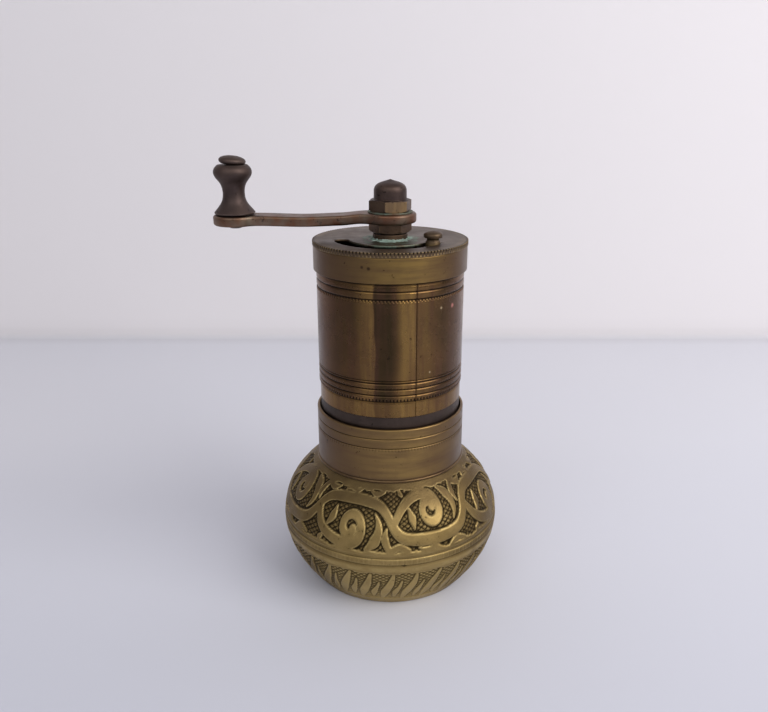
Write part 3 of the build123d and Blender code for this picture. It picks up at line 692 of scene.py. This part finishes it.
ACORN = patina(
    "black_brown_nut", body=(0.095, 0.064, 0.053), shade=(0.066, 0.046, 0.041), bright=(0.25, 0.165, 0.085),
    recess=(0.012, 0.009, 0.008), rough=(0.4, 0.52), patches=200.0, spots=0.6, streaks=(3.0, 3.0, 0.4),
)
IRON = patina(
    "browned_iron", body=(0.088, 0.064, 0.052), shade=(0.06, 0.045, 0.038), bright=(0.15, 0.13, 0.12),
    recess=(0.01, 0.009, 0.008), rough=(0.38, 0.55), patches=90.0,
)
STEEL = patina(
    "dull_steel", body=(0.3, 0.28, 0.26), shade=(0.18, 0.16, 0.15), bright=(0.5, 0.48, 0.46),
    recess=(0.04, 0.03, 0.025), rough=(0.25, 0.45), patches=120.0,
)
CRUST = patina(
    "green_crust", body=(0.3, 0.41, 0.35), shade=(0.14, 0.2, 0.16), bright=(0.5, 0.58, 0.52),
    recess=(0.03, 0.05, 0.04), rough=(0.7, 0.9), patches=700.0, metal=0.0, grain=0.00008,
)
BALL = patina(
    "polished_ball", body=(0.5, 0.5, 0.5), shade=(0.42, 0.41, 0.4), bright=(0.6, 0.6, 0.6),
    recess=(0.1, 0.09, 0.08), rough=(0.12, 0.2),
)


# ======== relief of the bowl


def curve(points, widths, count=40):
    """Dense points along a smooth stroke, with half widths eased from one end to the other."""
    half = np.interp(np.linspace(0, 1, count), np.linspace(0, 1, len(widths)), widths)
    return np.column_stack([spline(points, count), half])


def scroll_strokes(rng):
    """Strokes of one scroll: an arch of vine, a branch curled up under it, leaves and a bud.

    x runs round the bowl from -13.2 to 13.2 and y up the belt from -7 to 7.
    """
    shift = rng.uniform(-0.5, 0.5, 6)
    arch = [(-13.2, 0), (-10.2, 3.4), (-5.0, 4.6), (0.5 + shift[0], 4.8), (6.0, 4.4), (10.4, 3.0), (13.2, 0)]
    centre = (0.9 + shift[1], -2.2)
    curl = [(centre[0] + r * cos(radians(a)), centre[1] + r * sin(radians(a))) for a, r in curl_path]
    stem = [(-12.2, 1.2), (-9.6, -2.8 + shift[2]), (-5.4, -5.3)]
    return [
        curve(arch, (1.25, 1.5, 1.25)),
        curve(stem + curl, (1.0, 1.3, 1.4, 1.3, 1.1, 1.2), 70),
        curve([(5.8, -6.8), (8.6, -4.6), (9.6, -0.8 + shift[3]), (8.2, 1.6)], (0.4, 1.5, 1.0, 0.2)),
        curve([(12.8, -6.8), (11.6, -4.2 + shift[4]), (12.0, -1.9)], (0.8, 1.1, 0.3)),
        curve([(-7.2 + shift[5], -2.6), (-6.0, -0.4), (-5.6, 2.0)], (0.4, 1.2, 0.3)),
        curve([(-12.9, 6.9), (-10.4, 6.1), (-7.2, 6.9)], (0.8, 0.9, 0.2)),
        curve([(-4.6, 6.5), (-2.2, 7.1), (0.8, 6.7), (2.4, 7.4)], (0.3, 0.6, 0.6, 0.2)),
        curve([(5.2, 7.3), (7.8, 6.3), (11.2, 6.9)], (0.2, 0.8, 0.3)),
        curve([(-9.6, -6.6), (-8.9, -6.0)], (0.7, 0.5), 4),
    ]


def leaf_strokes(rng):
    """Strokes of one slanted leaf and the bud beside it, y from -7 to 7."""
    shift = rng.uniform(-0.6, 0.6, 5)
    leaf = [(-2.4 + shift[0], -6.4), (-1.6, -2.0), (0.2 + shift[1], 2.2), (1.5 + shift[2], 6.3)]
    bud = [(1.3, -5.6 + shift[3]), (2.0 + shift[1], -2.0), (2.9, 0.6), (3.6, 3.4 + shift[4])]
    return [curve(leaf, (0.5, 1.35, 1.05, 0.35), 24), curve(bud, (0.4, 0.95, 0.5, 0.2), 24)]


def distance_to(strokes, x, y):
    """Distance in the plane from each point to the nearest edge of the strokes, negative inside."""
    nearest = np.full(x.shape, 99.0)
    for stroke in strokes:
        for (x0, y0, half0), (x1, y1, half1) in zip(stroke, stroke[1:], strict=False):
            dx, dy = x1 - x0, y1 - y0
            length = max(dx * dx + dy * dy, 1e-9)
            t = np.clip(((x - x0) * dx + (y - y0) * dy) / length, 0, 1)
            gap = np.hypot(x - x0 - t * dx, y - y0 - t * dy) - (half0 + t * (half1 - half0))
            nearest = np.minimum(nearest, gap)
    return nearest


def repeated(strokes_of, seed, count, angles, y, flips):
    """Distance to a motif repeated round the bowl, each copy a little different."""
    rng = np.random.default_rng(seed)
    gap = np.full(angles.shape, 99.0)
    reach = pi * bowl_radius / count + 4
    for i in range(count):
        strokes = strokes_of(rng)
        x = ((angles - (i + 0.5) * TURN / count + pi) % TURN - pi) * drawing_radius
        flip = -1 if flips and i % 2 == 0 else 1
        near = (np.abs(x) < reach) & (np.abs(y) < 8.5)
        gap[near] = np.minimum(gap[near], distance_to(strokes, x[near], flip * y[near]))
    return gap


def hatching(x, y, pitch):
    """Crossed chased lines: 1 in a line, 0 on the small lozenges between."""
    first = np.abs(((x * 0.8 + y) / pitch) % 1 - 0.5)
    second = np.abs(((x * 0.8 - y) / pitch) % 1 - 0.5)
    return smooth_step(0.27, 0.42, np.maximum(first, second))


def sunk(gap, hatch):
    """Depth share of a chased ground: a cut line round each form, and hatching away from it."""
    inside = smooth_step(-0.15, 0.2, gap)
    away = smooth_step(0.35, 0.7, gap)
    return inside * ((1 - away) + away * (0.4 + 0.6 * hatch))


def between(low_end, high_end, up, angles):
    """1 between two levels, with wavy ends."""
    wavy = up + 0.22 * np.sin(angles * 23) + 0.15 * np.sin(angles * 41 + 1)
    return smooth_step(low_end, low_end + 0.4, wavy) * (1 - smooth_step(high_end - 0.4, high_end, wavy))


def bowl_depth(angles, up):
    """Depth share of all the chasing on the bowl, 0 on the untouched surface."""
    middle = (scroll_low + scroll_high) / 2
    gap = repeated(scroll_strokes, 7, scroll_count, angles, (up - middle) / scroll_stretch, True)
    hatch = hatching(angles * scroll_hatch_radius, up, scroll_hatch_pitch)
    scrolls = sunk(gap, hatch) * between(scroll_low, scroll_high, up, angles)
    middle = (leaf_low + leaf_high) / 2
    gap = repeated(leaf_strokes, 11, leaf_count, angles, (up - middle) / leaf_stretch, False)
    hatch = hatching(angles * leaf_hatch_radius, up, leaf_hatch_pitch)
    leaves = sunk(gap, hatch) * between(leaf_low, leaf_high, up, angles)
    fade = smooth_step(leaf_low - 2, leaf_low + 8, up)
    depth = np.maximum(scrolls, leaves * (0.5 + 0.36 * fade))
    for line in belt_lines:
        depth = np.maximum(depth, 0.75 * bump_at(up, line, 0.2))
    fine_ticks = ticks(angles, belt_tick_count) * smooth_step(-0.2, 0.0, up) * (1 - smooth_step(1.3, 1.5, up))
    return np.maximum(depth, 0.3 * fine_ticks)


# ======== cup


def bowl_piece():
    """Round bowl with its chased relief, and the plain inside."""
    outer = spline(bowl_wall, bowl_rows + 2)[1:-1]
    steps = np.linalg.norm(np.diff(outer, axis=0), axis=1)
    along = np.concatenate([[0], np.cumsum(steps)])
    up = along - np.interp(belly_height, outer[:, 1], along)
    rim = [(collar_seat_radius - 0.05, bowl_height), (bowl_throat_radius, bowl_height)]
    outline = np.array(bowl_foot + outer.tolist() + rim + bowl_inside)
    chased = slice(len(bowl_foot), len(bowl_foot) + len(outer))
    angle_grid, up_grid = np.meshgrid(np.arange(bowl_segments) * TURN / bowl_segments, up)
    marks = np.zeros((len(outline), bowl_segments))
    marks[chased] = bowl_depth(angle_grid, up_grid)
    dents = 0.04 * np.sin(angle_grid * 5) * np.cos(up_grid * 0.35) + 0.03 * np.sin(angle_grid * 11 + up_grid)
    sinking = relief_depth * marks
    sinking[chased] += np.clip(dents + 0.05, 0, 1)

    def shape(_angles, radii, heights):
        return radii - sinking, heights

    piece = lathe("bowl_relief", outline, bowl_segments, shape=shape, smooth_angle=70)
    # Edge rubbing and painted edge highlight beside the chased cuts, and brighter on the plain belt.
    slope = np.abs(np.gradient(marks, axis=1)) + np.abs(np.gradient(marks, axis=0))
    rub_and_glint = np.clip(1.5 * slope, 0, 1) * (marks < 0.35)
    plain_belt = np.zeros_like(marks)
    plain_belt[chased] = smooth_step(-3.4, -2.6, up_grid) * (1 - smooth_step(-1.7, -1.2, up_grid))
    paint(piece, "recess", ring_values(outline, marks))
    paint(piece, "rub_and_glint", ring_values(outline, np.maximum(rub_and_glint, 0.6 * plain_belt)))
    angles, _radii, heights = places(piece)
    # Painted shade on both sides of the bowl as seen from the front, and darker on the shoulder below the
    # collar.
    side_shade = smooth_step(0.35, 0.95, np.abs(np.cos(angles)))
    shoulder = smooth_step(31.0, 38.5, heights)
    paint(piece, "shade_and_oxide", np.maximum(0.95 * shoulder, 0.7 * side_shade))
    # Painted highlight on the front of the bowl, stronger below the belly.
    front = smooth_step(0.6, 1.0, -np.sin(angles))
    below_belly = 1 - smooth_step(15.0, 18.0, heights)
    paint(piece, "sheen_and_rub", front * (0.18 + 0.5 * below_belly))
    return piece


def collar_piece():
    """Collar: half round bead at the foot, two turned grooves and a milled edge below the rim."""
    bead = [
        (collar_seat_radius + collar_bead_radius * sin(t), collar_bead_height - collar_bead_radius * cos(t))
        for t in np.linspace(0.2, pi, 9)
    ]
    wall = [(collar_seat_radius, z) for z in levels(42.5, collar_top - 0.35, 0.15)]
    rim = [(collar_seat_radius - 0.1, collar_top - 0.1), (collar_seat_radius - 0.3, collar_top)]
    inside = [(collar_bore + 0.2, collar_top), (collar_bore, collar_top - 0.25), (collar_bore, collar_foot)]
    inside.append((collar_seat_radius, collar_foot))

    def marks_at(angles, heights):
        grooves = sum(bump_at(heights, z, 0.16) for z in collar_grooves)
        milled = ticks(angles, collar_tick_count) * bump_at(heights, collar_tick_height, 0.42)
        return np.clip(grooves + 0.7 * milled, 0, 1)

    piece = turned(
        "collar_turned", bead + wall + rim + inside, collar_segments, marks_at,
        depth=0.22, outside=collar_seat_radius - 0.05, rub_and_glint_strength=0.25,
    )
    # Painted reflections: light and dark bands round the collar, and darker at the bead.
    sheen_and_rub, shade_and_oxide = reflection_shares(piece, ring_reflection_bands)
    _angles, _radii, heights = places(piece)
    at_bead = smooth_step(0.0, 0.9, bump_at(heights, collar_bead_height, 0.9))
    paint(piece, "sheen_and_rub", sheen_and_rub)
    paint(piece, "shade_and_oxide", np.maximum(shade_and_oxide, at_bead))
    return piece


# ======== barrel


def tube_piece():
    """Rolled tube: bottom strip, three narrow bands, chased grooves, milled edges and a long seam."""
    foot = [(strip_radius, z) for z in levels(tube_bottom + 0.15, strip_top - 0.25, 0.4)]
    foot.append((strip_radius + 0.1, strip_top - 0.05))
    rows = [levels(strip_top + 0.1, 75.0, 0.1), levels(75.5, 98.0, 0.9)]
    rows += [levels(98.2, 102.2, 0.1), levels(102.6, tube_top - 0.1, 0.6)]
    body = [(barrel_radius - 0.03, z) for z in np.concatenate(rows)]
    bore = [(tube_bore + 0.08, tube_top), (tube_bore, tube_top - 0.2), (tube_bore, tube_bottom)]
    bore.append((strip_radius - 0.2, tube_bottom))
    foot_ticks, bead_ticks, head_ticks = tube_tick_heights

    def marks_at(angles, heights):
        grooves = sum(bump_at(heights, z, width) for z, width in tube_grooves)
        milled = ticks(angles, rim_tick_count)
        low_ticks = milled * (bump_at(heights, foot_ticks, 0.45) + 0.35 * bump_at(heights, bead_ticks, 0.35))
        high_ticks = milled * bump_at(heights, head_ticks, 0.3)
        seam = bump_at(angles, TURN + radians(seam_angle), seam_width)
        return np.clip(grooves + 0.95 * low_ticks + 0.75 * high_ticks + 0.85 * seam, 0, 1)

    piece = turned(
        "tube_rolled", foot + body + bore, rim_segments, marks_at,
        depth=0.3, outside=strip_radius - 0.03, rub_and_glint_strength=0.12,
    )
    _angles, radii, heights = places(piece)
    marks = np.empty(len(radii), dtype=np.float32)
    piece.data.attributes["recess"].data.foreach_get("value", marks)
    # Painted shade inside the bore.
    inside = radii < tube_bore + 0.18
    paint(piece, "recess", np.maximum(marks, 0.9 * inside))
    # Painted reflections: light and dark bands round the tube; the foot strip lighter and less dark.
    sheen_and_rub, shade_and_oxide = reflection_shares(piece, tube_reflection_bands)
    strip = heights < strip_top - 0.2
    paint(piece, "sheen_and_rub", np.where(strip, 0.45 + 0.5 * sheen_and_rub, sheen_and_rub))
    paint(piece, "shade_and_oxide", np.where(strip, 0.45 * shade_and_oxide, shade_and_oxide))
    return piece


def cap_piece():
    """Cap skirt with an eased lower edge and a fine line above it."""
    start = (cap_radius - 0.35, cap_bottom)
    outside = [(cap_radius, cap_bottom), (cap_radius, cap_top)]
    inside = [(cap_radius - cap_wall, cap_top), (cap_radius - cap_wall, cap_bottom)]
    outline = eased([start, *outside, *inside, start], radius=0.28)[:-1]

    def marks_at(_angles, heights):
        return 0.6 * bump_at(heights, cap_bottom + 0.75, 0.15)

    piece = turned("cap_turned", outline, 360, marks_at, depth=0.12, outside=cap_radius - 0.1, rub_and_glint_strength=0.15)
    # Painted reflections: light and dark bands round the cap.
    sheen_and_rub, shade_and_oxide = reflection_shares(piece, ring_reflection_bands)
    paint(piece, "sheen_and_rub", sheen_and_rub)
    paint(piece, "shade_and_oxide", shade_and_oxide)
    return piece


def plate_piece():
    """Top plate: milled rim, flat face, and the curved fill slot with softened edges."""
    rim = [(plate_radius - 1.8, plate_bottom), (plate_radius, plate_bottom), (plate_radius, plate_top)]
    rim = eased(rim + [(22.0, plate_top)], radius=0.16)
    flat = [(radius, plate_top) for radius in (23.0, 21.0, 18.3, *np.arange(12.6, 5.2, -0.45))]
    hole = [(plate_hole_radius, plate_top), (plate_hole_radius, plate_under)]
    outline = np.array(rim[:-1].tolist() + flat + hole + [(plate_seat_radius, plate_under)])

    def marks_at(angles, heights):
        return ticks(angles, rim_tick_count) * smooth_step(plate_bottom + 0.25, plate_bottom + 0.35, heights)

    piece = turned("plate_turned", outline, rim_segments, marks_at, depth=0.24, outside=plate_radius - 0.3)
    cutter = slot_cutter()
    boolean = piece.modifiers.new("slot", "BOOLEAN")
    boolean.object = cutter
    boolean.solver = "EXACT"
    with_modifiers(piece)
    bpy.data.objects.remove(cutter)
    paint_plate(piece)
    return piece


def paint_plate(piece):
    """Green tide mark round the neck bush, and green on the slot's inner wall at the front."""
    angles, radii, heights = places(piece)
    below = heights < plate_top - 0.02
    inner_wall = (radii > slot_inner_wall[0]) * (radii < slot_inner_wall[1]) * below
    front = 0.5 - 0.5 * np.sin(angles)
    tide = 7.6 + 3.6 * front**3 + 0.5 * np.sin(angles * 5) + 0.3 * np.sin(angles * 13 + 1)
    ring = np.clip(0.9 * bump_at(radii, tide, 0.55) + 0.45 * (radii < tide), 0, 1)
    on_face = (radii < 12.8) * (1 - below)
    paint(piece, "stain", np.maximum(ring * on_face, inner_wall * front**6))


def slot_cutter():
    """Kidney shaped cutter for the fill slot, wider at the top where the slot's edge is softened."""
    rows = [(plate_under - 1, 0.0), (plate_top - 0.14, 0.0), (plate_top - 0.03, 0.07), (plate_top + 0.5, 0.4)]
    vertices = []
    for height, grow in rows:
        vertices.extend((x, y, height) for x, y in kidney(slot_half_width + grow, 60))
    around = len(vertices) // len(rows)
    last = around * (len(rows) - 1)
    ends = [list(range(around))[::-1], [last + i for i in range(around)]]
    return finish_mesh("slot_cutter", vertices, ends + strip_faces(len(rows), around))


def kidney(half, steps):
    """Outline of the curved slot: two arcs and two round ends."""
    start, end = radians(slot_start), radians(slot_end)
    polar = [(slot_radius + half, t) for t in np.linspace(start, end, steps)]
    for t in np.linspace(0, pi, 16)[1:-1]:
        polar.append((slot_radius + half * cos(t), end + half * sin(t) / slot_radius))
    polar += [(slot_radius - half, t) for t in np.linspace(end, start, steps)]
    for t in np.linspace(pi, TURN, 16)[1:-1]:
        polar.append((slot_radius + half * cos(t), start + half * sin(t) / slot_radius))
    return [(radius * cos(t), radius * sin(t)) for radius, t in polar]


def crust_piece():
    """Thin green crust round the neck bush on the top plate, ragged and broken."""
    rng = np.random.default_rng(3)
    phases = rng.uniform(0, TURN, 5)
    outline = [(neck_radius - 0.02 + out, plate_top + up) for out, up in crust_section]

    def shape(angles, radii, heights):
        ragged = sum(np.sin(angles * n + p) for n, p in zip((3, 7, 12, 19, 31), phases, strict=True)) / 5
        front = 0.5 + 0.35 * np.cos(angles + pi / 2)
        spread = np.clip(front + 0.8 * ragged, 0.1, 1)
        return neck_radius + (radii - neck_radius) * spread, plate_top + (heights - plate_top) * spread

    return edge_paint(lathe("verdigris_crust", outline, 260, shape=shape))


# ======== hub and crank


def bush_piece():
    """Neck bush: a round head on the plate and a tail through it."""
    tail = [(shaft_bore, neck_bottom), (bush_tail_radius, neck_bottom), (bush_tail_radius, plate_top)]
    head = [(neck_radius, plate_top + 0.01), (neck_radius, neck_top), (shaft_bore, neck_top)]
    return edge_paint(lathe("bush_turned", eased(tail + head, radius=0.22), 96))


def lower_nut_piece():
    """Hexagon nut under the arm, with its corners turned down at both ends."""
    lower = [(nut_bore, nut_bottom), (nut_corner - 0.75, nut_bottom), (nut_corner, nut_bottom + 0.4)]
    upper = [(nut_corner, nut_top - 0.4), (nut_corner - 0.75, nut_top), (nut_bore, nut_top)]
    shape = hexed(nut_corner, 0, nut_bottom, nut_top)
    outline = eased(lower + upper, radius=0.2)
    return edge_paint(lathe("nut_turned", outline, 192, shape=shape, smooth_angle=28))


def washer_piece():
    """Thin washer on the arm, green from the damp."""
    under = [(washer_bore, washer_bottom), (washer_radius, washer_bottom)]
    over = [(washer_radius, washer_top), (washer_bore, washer_top)]
    piece = edge_paint(lathe("washer_turned", eased(under + over, radius=0.14), 96))
    paint(piece, "stain", 0.8 * np.ones(len(piece.data.vertices)))
    return piece


def acorn_piece():
    """Dome nut: a hexagon, a short round wall and a low dome with a point. Two flats are rubbed."""
    bottom = washer_top
    hex_top = bottom + acorn_hex_height
    wall_top = hex_top + acorn_wall_height
    lower = [(washer_bore, bottom), (acorn_corner - 0.7, bottom), (acorn_corner, bottom + 0.4)]
    upper = [(acorn_corner, hex_top - 0.35), (acorn_corner - 1.0, hex_top)]
    wall = [(acorn_radius, hex_top + 0.02), (acorn_radius, wall_top - 0.1)]
    flanks = eased(lower + upper + wall, radius=0.16)
    dome = [(radius, acorn_top - drop) for radius, drop in acorn_dome]
    outline = [(0, bottom)] + flanks.tolist() + dome + [(0, acorn_top)]
    shape = hexed(acorn_corner, -acorn_hex_turn, bottom, hex_top)
    piece = edge_paint(lathe("acorn_turned", outline, 192, shape=shape, smooth_angle=28))
    angles, _radii, heights = places(piece)
    side = np.floor((np.degrees(angles) + acorn_hex_turn) / 60) % 6
    rubbed = 0.25 + 0.75 * (side == 5) + 0.3 * (side == 2)
    paint(piece, "sheen_and_rub", rubbed * (heights < hex_top - 0.3))
    return piece


def arm_half_outline():
    """Half outline of the arm in plan, from the hub's far edge to the knob's far edge."""
    bend = arm_half_width + hub_fillet
    hub_x = np.sqrt((hub_radius + hub_fillet) ** 2 - bend**2)
    hub_end = np.arctan2(bend, hub_x)
    points = [(hub_radius * cos(t), hub_radius * sin(t)) for t in np.linspace(pi, hub_end, 34)]
    for t in np.linspace(pi + hub_end, 1.5 * pi, 8)[1:]:
        points.append((hub_x + hub_fillet * cos(t), bend + hub_fillet * sin(t)))
    bend = arm_half_width + eye_fillet
    eye_x = arm_length - np.sqrt((eye_radius + eye_fillet) ** 2 - bend**2)
    eye_end = np.arctan2(bend, eye_x - arm_length)
    points.extend((x, arm_half_width) for x in np.linspace(hub_x, eye_x, 26)[1:-1])
    for t in np.linspace(1.5 * pi, pi + eye_end, 8)[:-1]:
        points.append((eye_x + eye_fillet * cos(t), bend + eye_fillet * sin(t)))
    for t in np.linspace(eye_end, 0, 30):
        points.append((arm_length + eye_radius * cos(t), eye_radius * sin(t)))
    return np.array(points)


def arm_section():
    """Half round edge of the arm, top to bottom, as (inset, rise) points."""
    section = []
    for t in np.linspace(pi / 2, -pi / 2, 13):
        inset = arm_rounding * (1 - cos(t))
        side = np.sign(sin(t) + 1e-12)
        rise = arm_rounding * sin(t) + (arm_thickness / 2 - arm_rounding) * side
        section.append((inset, arm_thickness / 2 + rise))
    return section


def arm_row(place, normal, section):
    """Points round the arm at one place of its outline: both edges, the underside and the top."""
    x, y = place
    edge = [(x - normal[0] * inset, max(y - normal[1] * inset, 0.0), rise) for inset, rise in section]
    far_edge = [(edge_x, -edge_y, rise) for edge_x, edge_y, rise in edge[::-1]]
    top_x, top_y, _rise = edge[0]
    bottom_x, bottom_y, _rise = edge[-1]
    under = [(bottom_x, across, 0.0) for across in np.linspace(bottom_y, -bottom_y, 7)[1:-1]]
    top = [(top_x, across, arm_thickness) for across in np.linspace(-top_y, top_y, 7)[1:-1]]
    return edge + under + far_edge + top


def arm_piece():
    """Forged arm: rounded edges, an eye at each end, set down by the joggle beyond the hub."""
    outline = arm_half_outline()
    tangent = np.gradient(outline, axis=0)
    tangent /= np.linalg.norm(tangent, axis=1)[:, None] + 1e-9
    normals = np.column_stack([-tangent[:, 1], tangent[:, 0]])
    section = arm_section()
    rows = [arm_row(place, normal, section) for place, normal in zip(outline, normals, strict=True)]
    vertices = []
    for x, y, rise in (point for row in rows for point in row):
        sag = smooth_step(13, 26, x) - smooth_step(26, 40, x)
        drop = 0.5 * smooth_step(8.5, 15.0, x) + 0.35 * sag
        vertices.append((x, y, hub_top - arm_thickness - drop + rise))
    piece = finish_mesh("arm_forged", vertices, strip_faces(len(rows), len(rows[0])), 50)
    weld(piece)
    piece.data.transform(Matrix.Rotation(radians(arm_angle), 4, "Z"))
    # Edge rubbing and painted edge highlight along the arm's edges.
    return edge_paint(piece, 0.12)


# ======== knobs


def grip_piece():
    """Spool shaped grip: flared foot, waist, bulge and a hollow under the pin's head."""
    foot = [(grip_bore, 0.0), (5.7, 0.0), (6.05, 0.2)]
    hollow = [(2.4, 14.3), (grip_bore, 13.9)]
    outline = [(r, grip_low.z + z) for r, z in foot + spline(grip_outline, 60).tolist() + hollow]
    return edge_paint(lathe("grip_turned", outline, 128, centre=(grip_x, grip_y)), 0.08)


def pin_pieces():
    """Rivet pin: shank with its tail under the arm, and a hammered head that leans to the shaft."""
    shank_top = grip_high.z + 0.8
    tail = [(0, pin_tail), (1.6, pin_tail + 0.02), (2.1, pin_tail + 0.25), (2.2, pin_tail + 0.9)]
    stem = [(pin_radius, pin_tail + 1.0), (pin_radius, shank_top), (0, shank_top)]
    shank = lathe("pin_shank", tail + stem, 64, centre=(grip_x, grip_y))
    head = lathe("pin_head", pin_head_outline, 96)
    head.data.transform(Matrix.Rotation(radians(pin_lean), 4, "Y"))
    head.data.transform(Matrix.Translation(Vector((grip_x, grip_y, grip_high.z + 0.2)) * MM))
    return [edge_paint(shank), edge_paint(head, 0.1)]


def shutter_knob_piece():
    """Small turned knob of the shutter: stem, hollow neck and a domed head."""
    bottom = shutter_low.z
    head = shutter_high.z - shutter_head_height
    stem = [(0, bottom), (1.08, bottom), (1.1, bottom + 0.8), (2.18, bottom + 0.82)]
    crown = [(radius, head + up) for radius, up in shutter_crown]
    outline = stem + crown + [(0, shutter_high.z)]
    piece = lathe("shutter_knob_turned", outline, 96, centre=(shutter_x, shutter_y))
    edge_paint(piece)
    _angles, _radii, heights = places(piece)
    paint(piece, "recess", 0.8 * bump_at(heights, head - 0.45, 0.35))
    return piece


# ======== dressing

dressed = [
    (bowl_piece(), "cup_bowl", "cup", "bowl_brass", BOWL),
    (collar_piece(), "cup_collar", "cup", "collar_brass", COLLAR),
    (tube_piece(), "barrel_tube", "barrel", "barrel_brass", BARREL),
    (cap_piece(), "cap_ring", "barrel", "cap_brass", CAP),
    (plate_piece(), "top_plate", "barrel", "cap_brass", PLATE),
    (bush_piece(), "neck_bush", "barrel", "hub_bronze", HUB),
    (shutter_knob_piece(), "shutter_knob", "shutter", "cap_brass", PLATE),
    (lower_nut_piece(), "lower_nut", "crank", "hub_bronze", HUB),
    (arm_piece(), "crank_arm", "crank", "arm_bronze", ARM),
    (washer_piece(), "arm_washer", "crank", "hub_bronze", HUB),
    (acorn_piece(), "acorn_nut", "crank", "dark_bronze", ACORN),
    (grip_piece(), "knob_grip", "knob", "knob_bronze", DARK),
]
dressed += [(piece, "knob_pin", "crank", "dark_bronze", DARK) for piece in pin_pieces()]
for piece, node, body, slot, material in dressed:
    piece.data.materials.clear()
    piece.data.materials.append(material)
    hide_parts(node)
    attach(piece, body)

crust = crust_piece()
crust.data.materials.append(CRUST)
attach(crust, "barrel")

kept = {
    "main_shaft": STEEL, "burr_clip": STEEL, "bridge_screws": STEEL, "thrust_ball": BALL,
    "burr_ring": IRON, "burr_cone": IRON, "bridge": IRON,
    "grind_adjuster": COLLAR, "shutter_plate": PLATE, "shutter_retainer": PLATE,
}
for node, material in kept.items():
    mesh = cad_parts[node].data
    mesh.materials.clear()
    mesh.materials.append(material)


# ======== floor, light and camera


def stage_sheet():
    """Floor and wall behind the mill, with a thin darker line of painted shade where they meet."""
    floor_rows = [-0.3, -0.2, -0.1, 0.0, 0.1, wall_place - 0.06, wall_place - 0.03, wall_place - 0.015]
    section = [(y, floor_level) for y in (sheet_front, *floor_rows)]
    for t in np.linspace(0, pi / 2, 12):
        up = corner_radius * (1 - cos(t)) + floor_level
        section.append((wall_place - corner_radius * (1 - sin(t)), up))
    section += [(wall_place, z) for z in (0.008, 0.015, 0.03, 0.1, wall_height)]
    vertices = [(x, y, z) for y, z in section for x in (-sheet_half_width, sheet_half_width)]
    faces = strip_faces(len(section), 2, closed=False)
    sheet = finish_mesh("studio_sweep", np.array(vertices) / MM, faces, 60)
    back, up = np.array(section).T
    # Painted shade in the corner between floor and wall.
    paint(sheet, "corner", np.repeat(bump_at(np.hypot(back - wall_place, up), 0.0, 0.006), 2))
    paint(sheet, "wall", np.repeat(smooth_step(0.0, corner_radius, up), 2))
    # Painted shade on the floor towards the front.
    paint(sheet, "near", np.repeat(1 - smooth_step(-0.2, 0.15, back), 2))
    sheet.data.materials.append(paper_material())


def paper_material():
    """Pale paper: cool floor with painted shade towards the front, warmer wall, and a grey line of painted
    shade between them.
    """
    paper = Nodes("pale_paper")
    wide = paper.ramp(paper.noise(2.5, 2.0, 0.5), 0.3, 0.7)
    floor = paper.mix(paper.attribute("near"), paper.mix(wide, FLOOR_COLOUR, FLOOR_SHADE), FLOOR_FRONT_SHADE)
    colour = paper.mix(paper.attribute("wall"), floor, WALL_COLOUR)
    colour = paper.mix(paper.maths("MULTIPLY", paper.attribute("corner"), 0.35), colour, CORNER_SHADE_COLOUR)
    return paper.finish(colour, rough=0.85, bump=paper.noise(900.0, 3.0, 0.6), depth=0.00002)


def lamp(name, place, size, power, colour):
    """Rectangular soft light that faces the middle of the mill."""
    data = bpy.data.lights.new(name, "AREA")
    data.shape = "RECTANGLE"
    data.size, data.size_y = size
    data.energy = power
    data.color = colour
    light = bpy.data.objects.new(name, data)
    light.location = place
    aim = Vector((0, 0, 0.06)) - Vector(place)
    light.rotation_euler = aim.to_track_quat("-Z", "Y").to_euler()
    bpy.context.collection.objects.link(light)


def room_air(colour, strength):
    """Even light from all round."""
    world = bpy.data.worlds.new("room_air")
    world.use_nodes = True
    background = world.node_tree.nodes["Background"]
    background.inputs["Color"].default_value = (*colour, 1.0)
    background.inputs["Strength"].default_value = strength
    bpy.context.scene.world = world


def camera(place, pitch, lens, shift):
    """Camera that looks along +Y. pitch is in degrees up from straight down."""
    data = bpy.data.cameras.new("camera")
    data.sensor_fit = "HORIZONTAL"
    data.sensor_width = 36.0
    data.lens = lens
    data.shift_x = shift
    eye = bpy.data.objects.new("camera", data)
    eye.location = place
    eye.rotation_euler = (radians(pitch), 0, 0)
    bpy.context.collection.objects.link(eye)
    bpy.context.scene.camera = eye


stage_sheet()
lamp("window", (0.55, -0.35, 0.5), size=(0.6, 0.6), power=4.4, colour=(1.0, 0.97, 0.94))
lamp("room", (-0.3, -0.9, 0.8), size=(1.4, 1.0), power=4.2, colour=(0.97, 0.98, 1.0))
room_air((0.97, 0.96, 1.0), 0.36)
camera((0.0, -0.2363, 0.1558), pitch=71.08, lens=36.19, shift=-0.0081)
bpy.context.scene.view_settings.view_transform = "Standard"
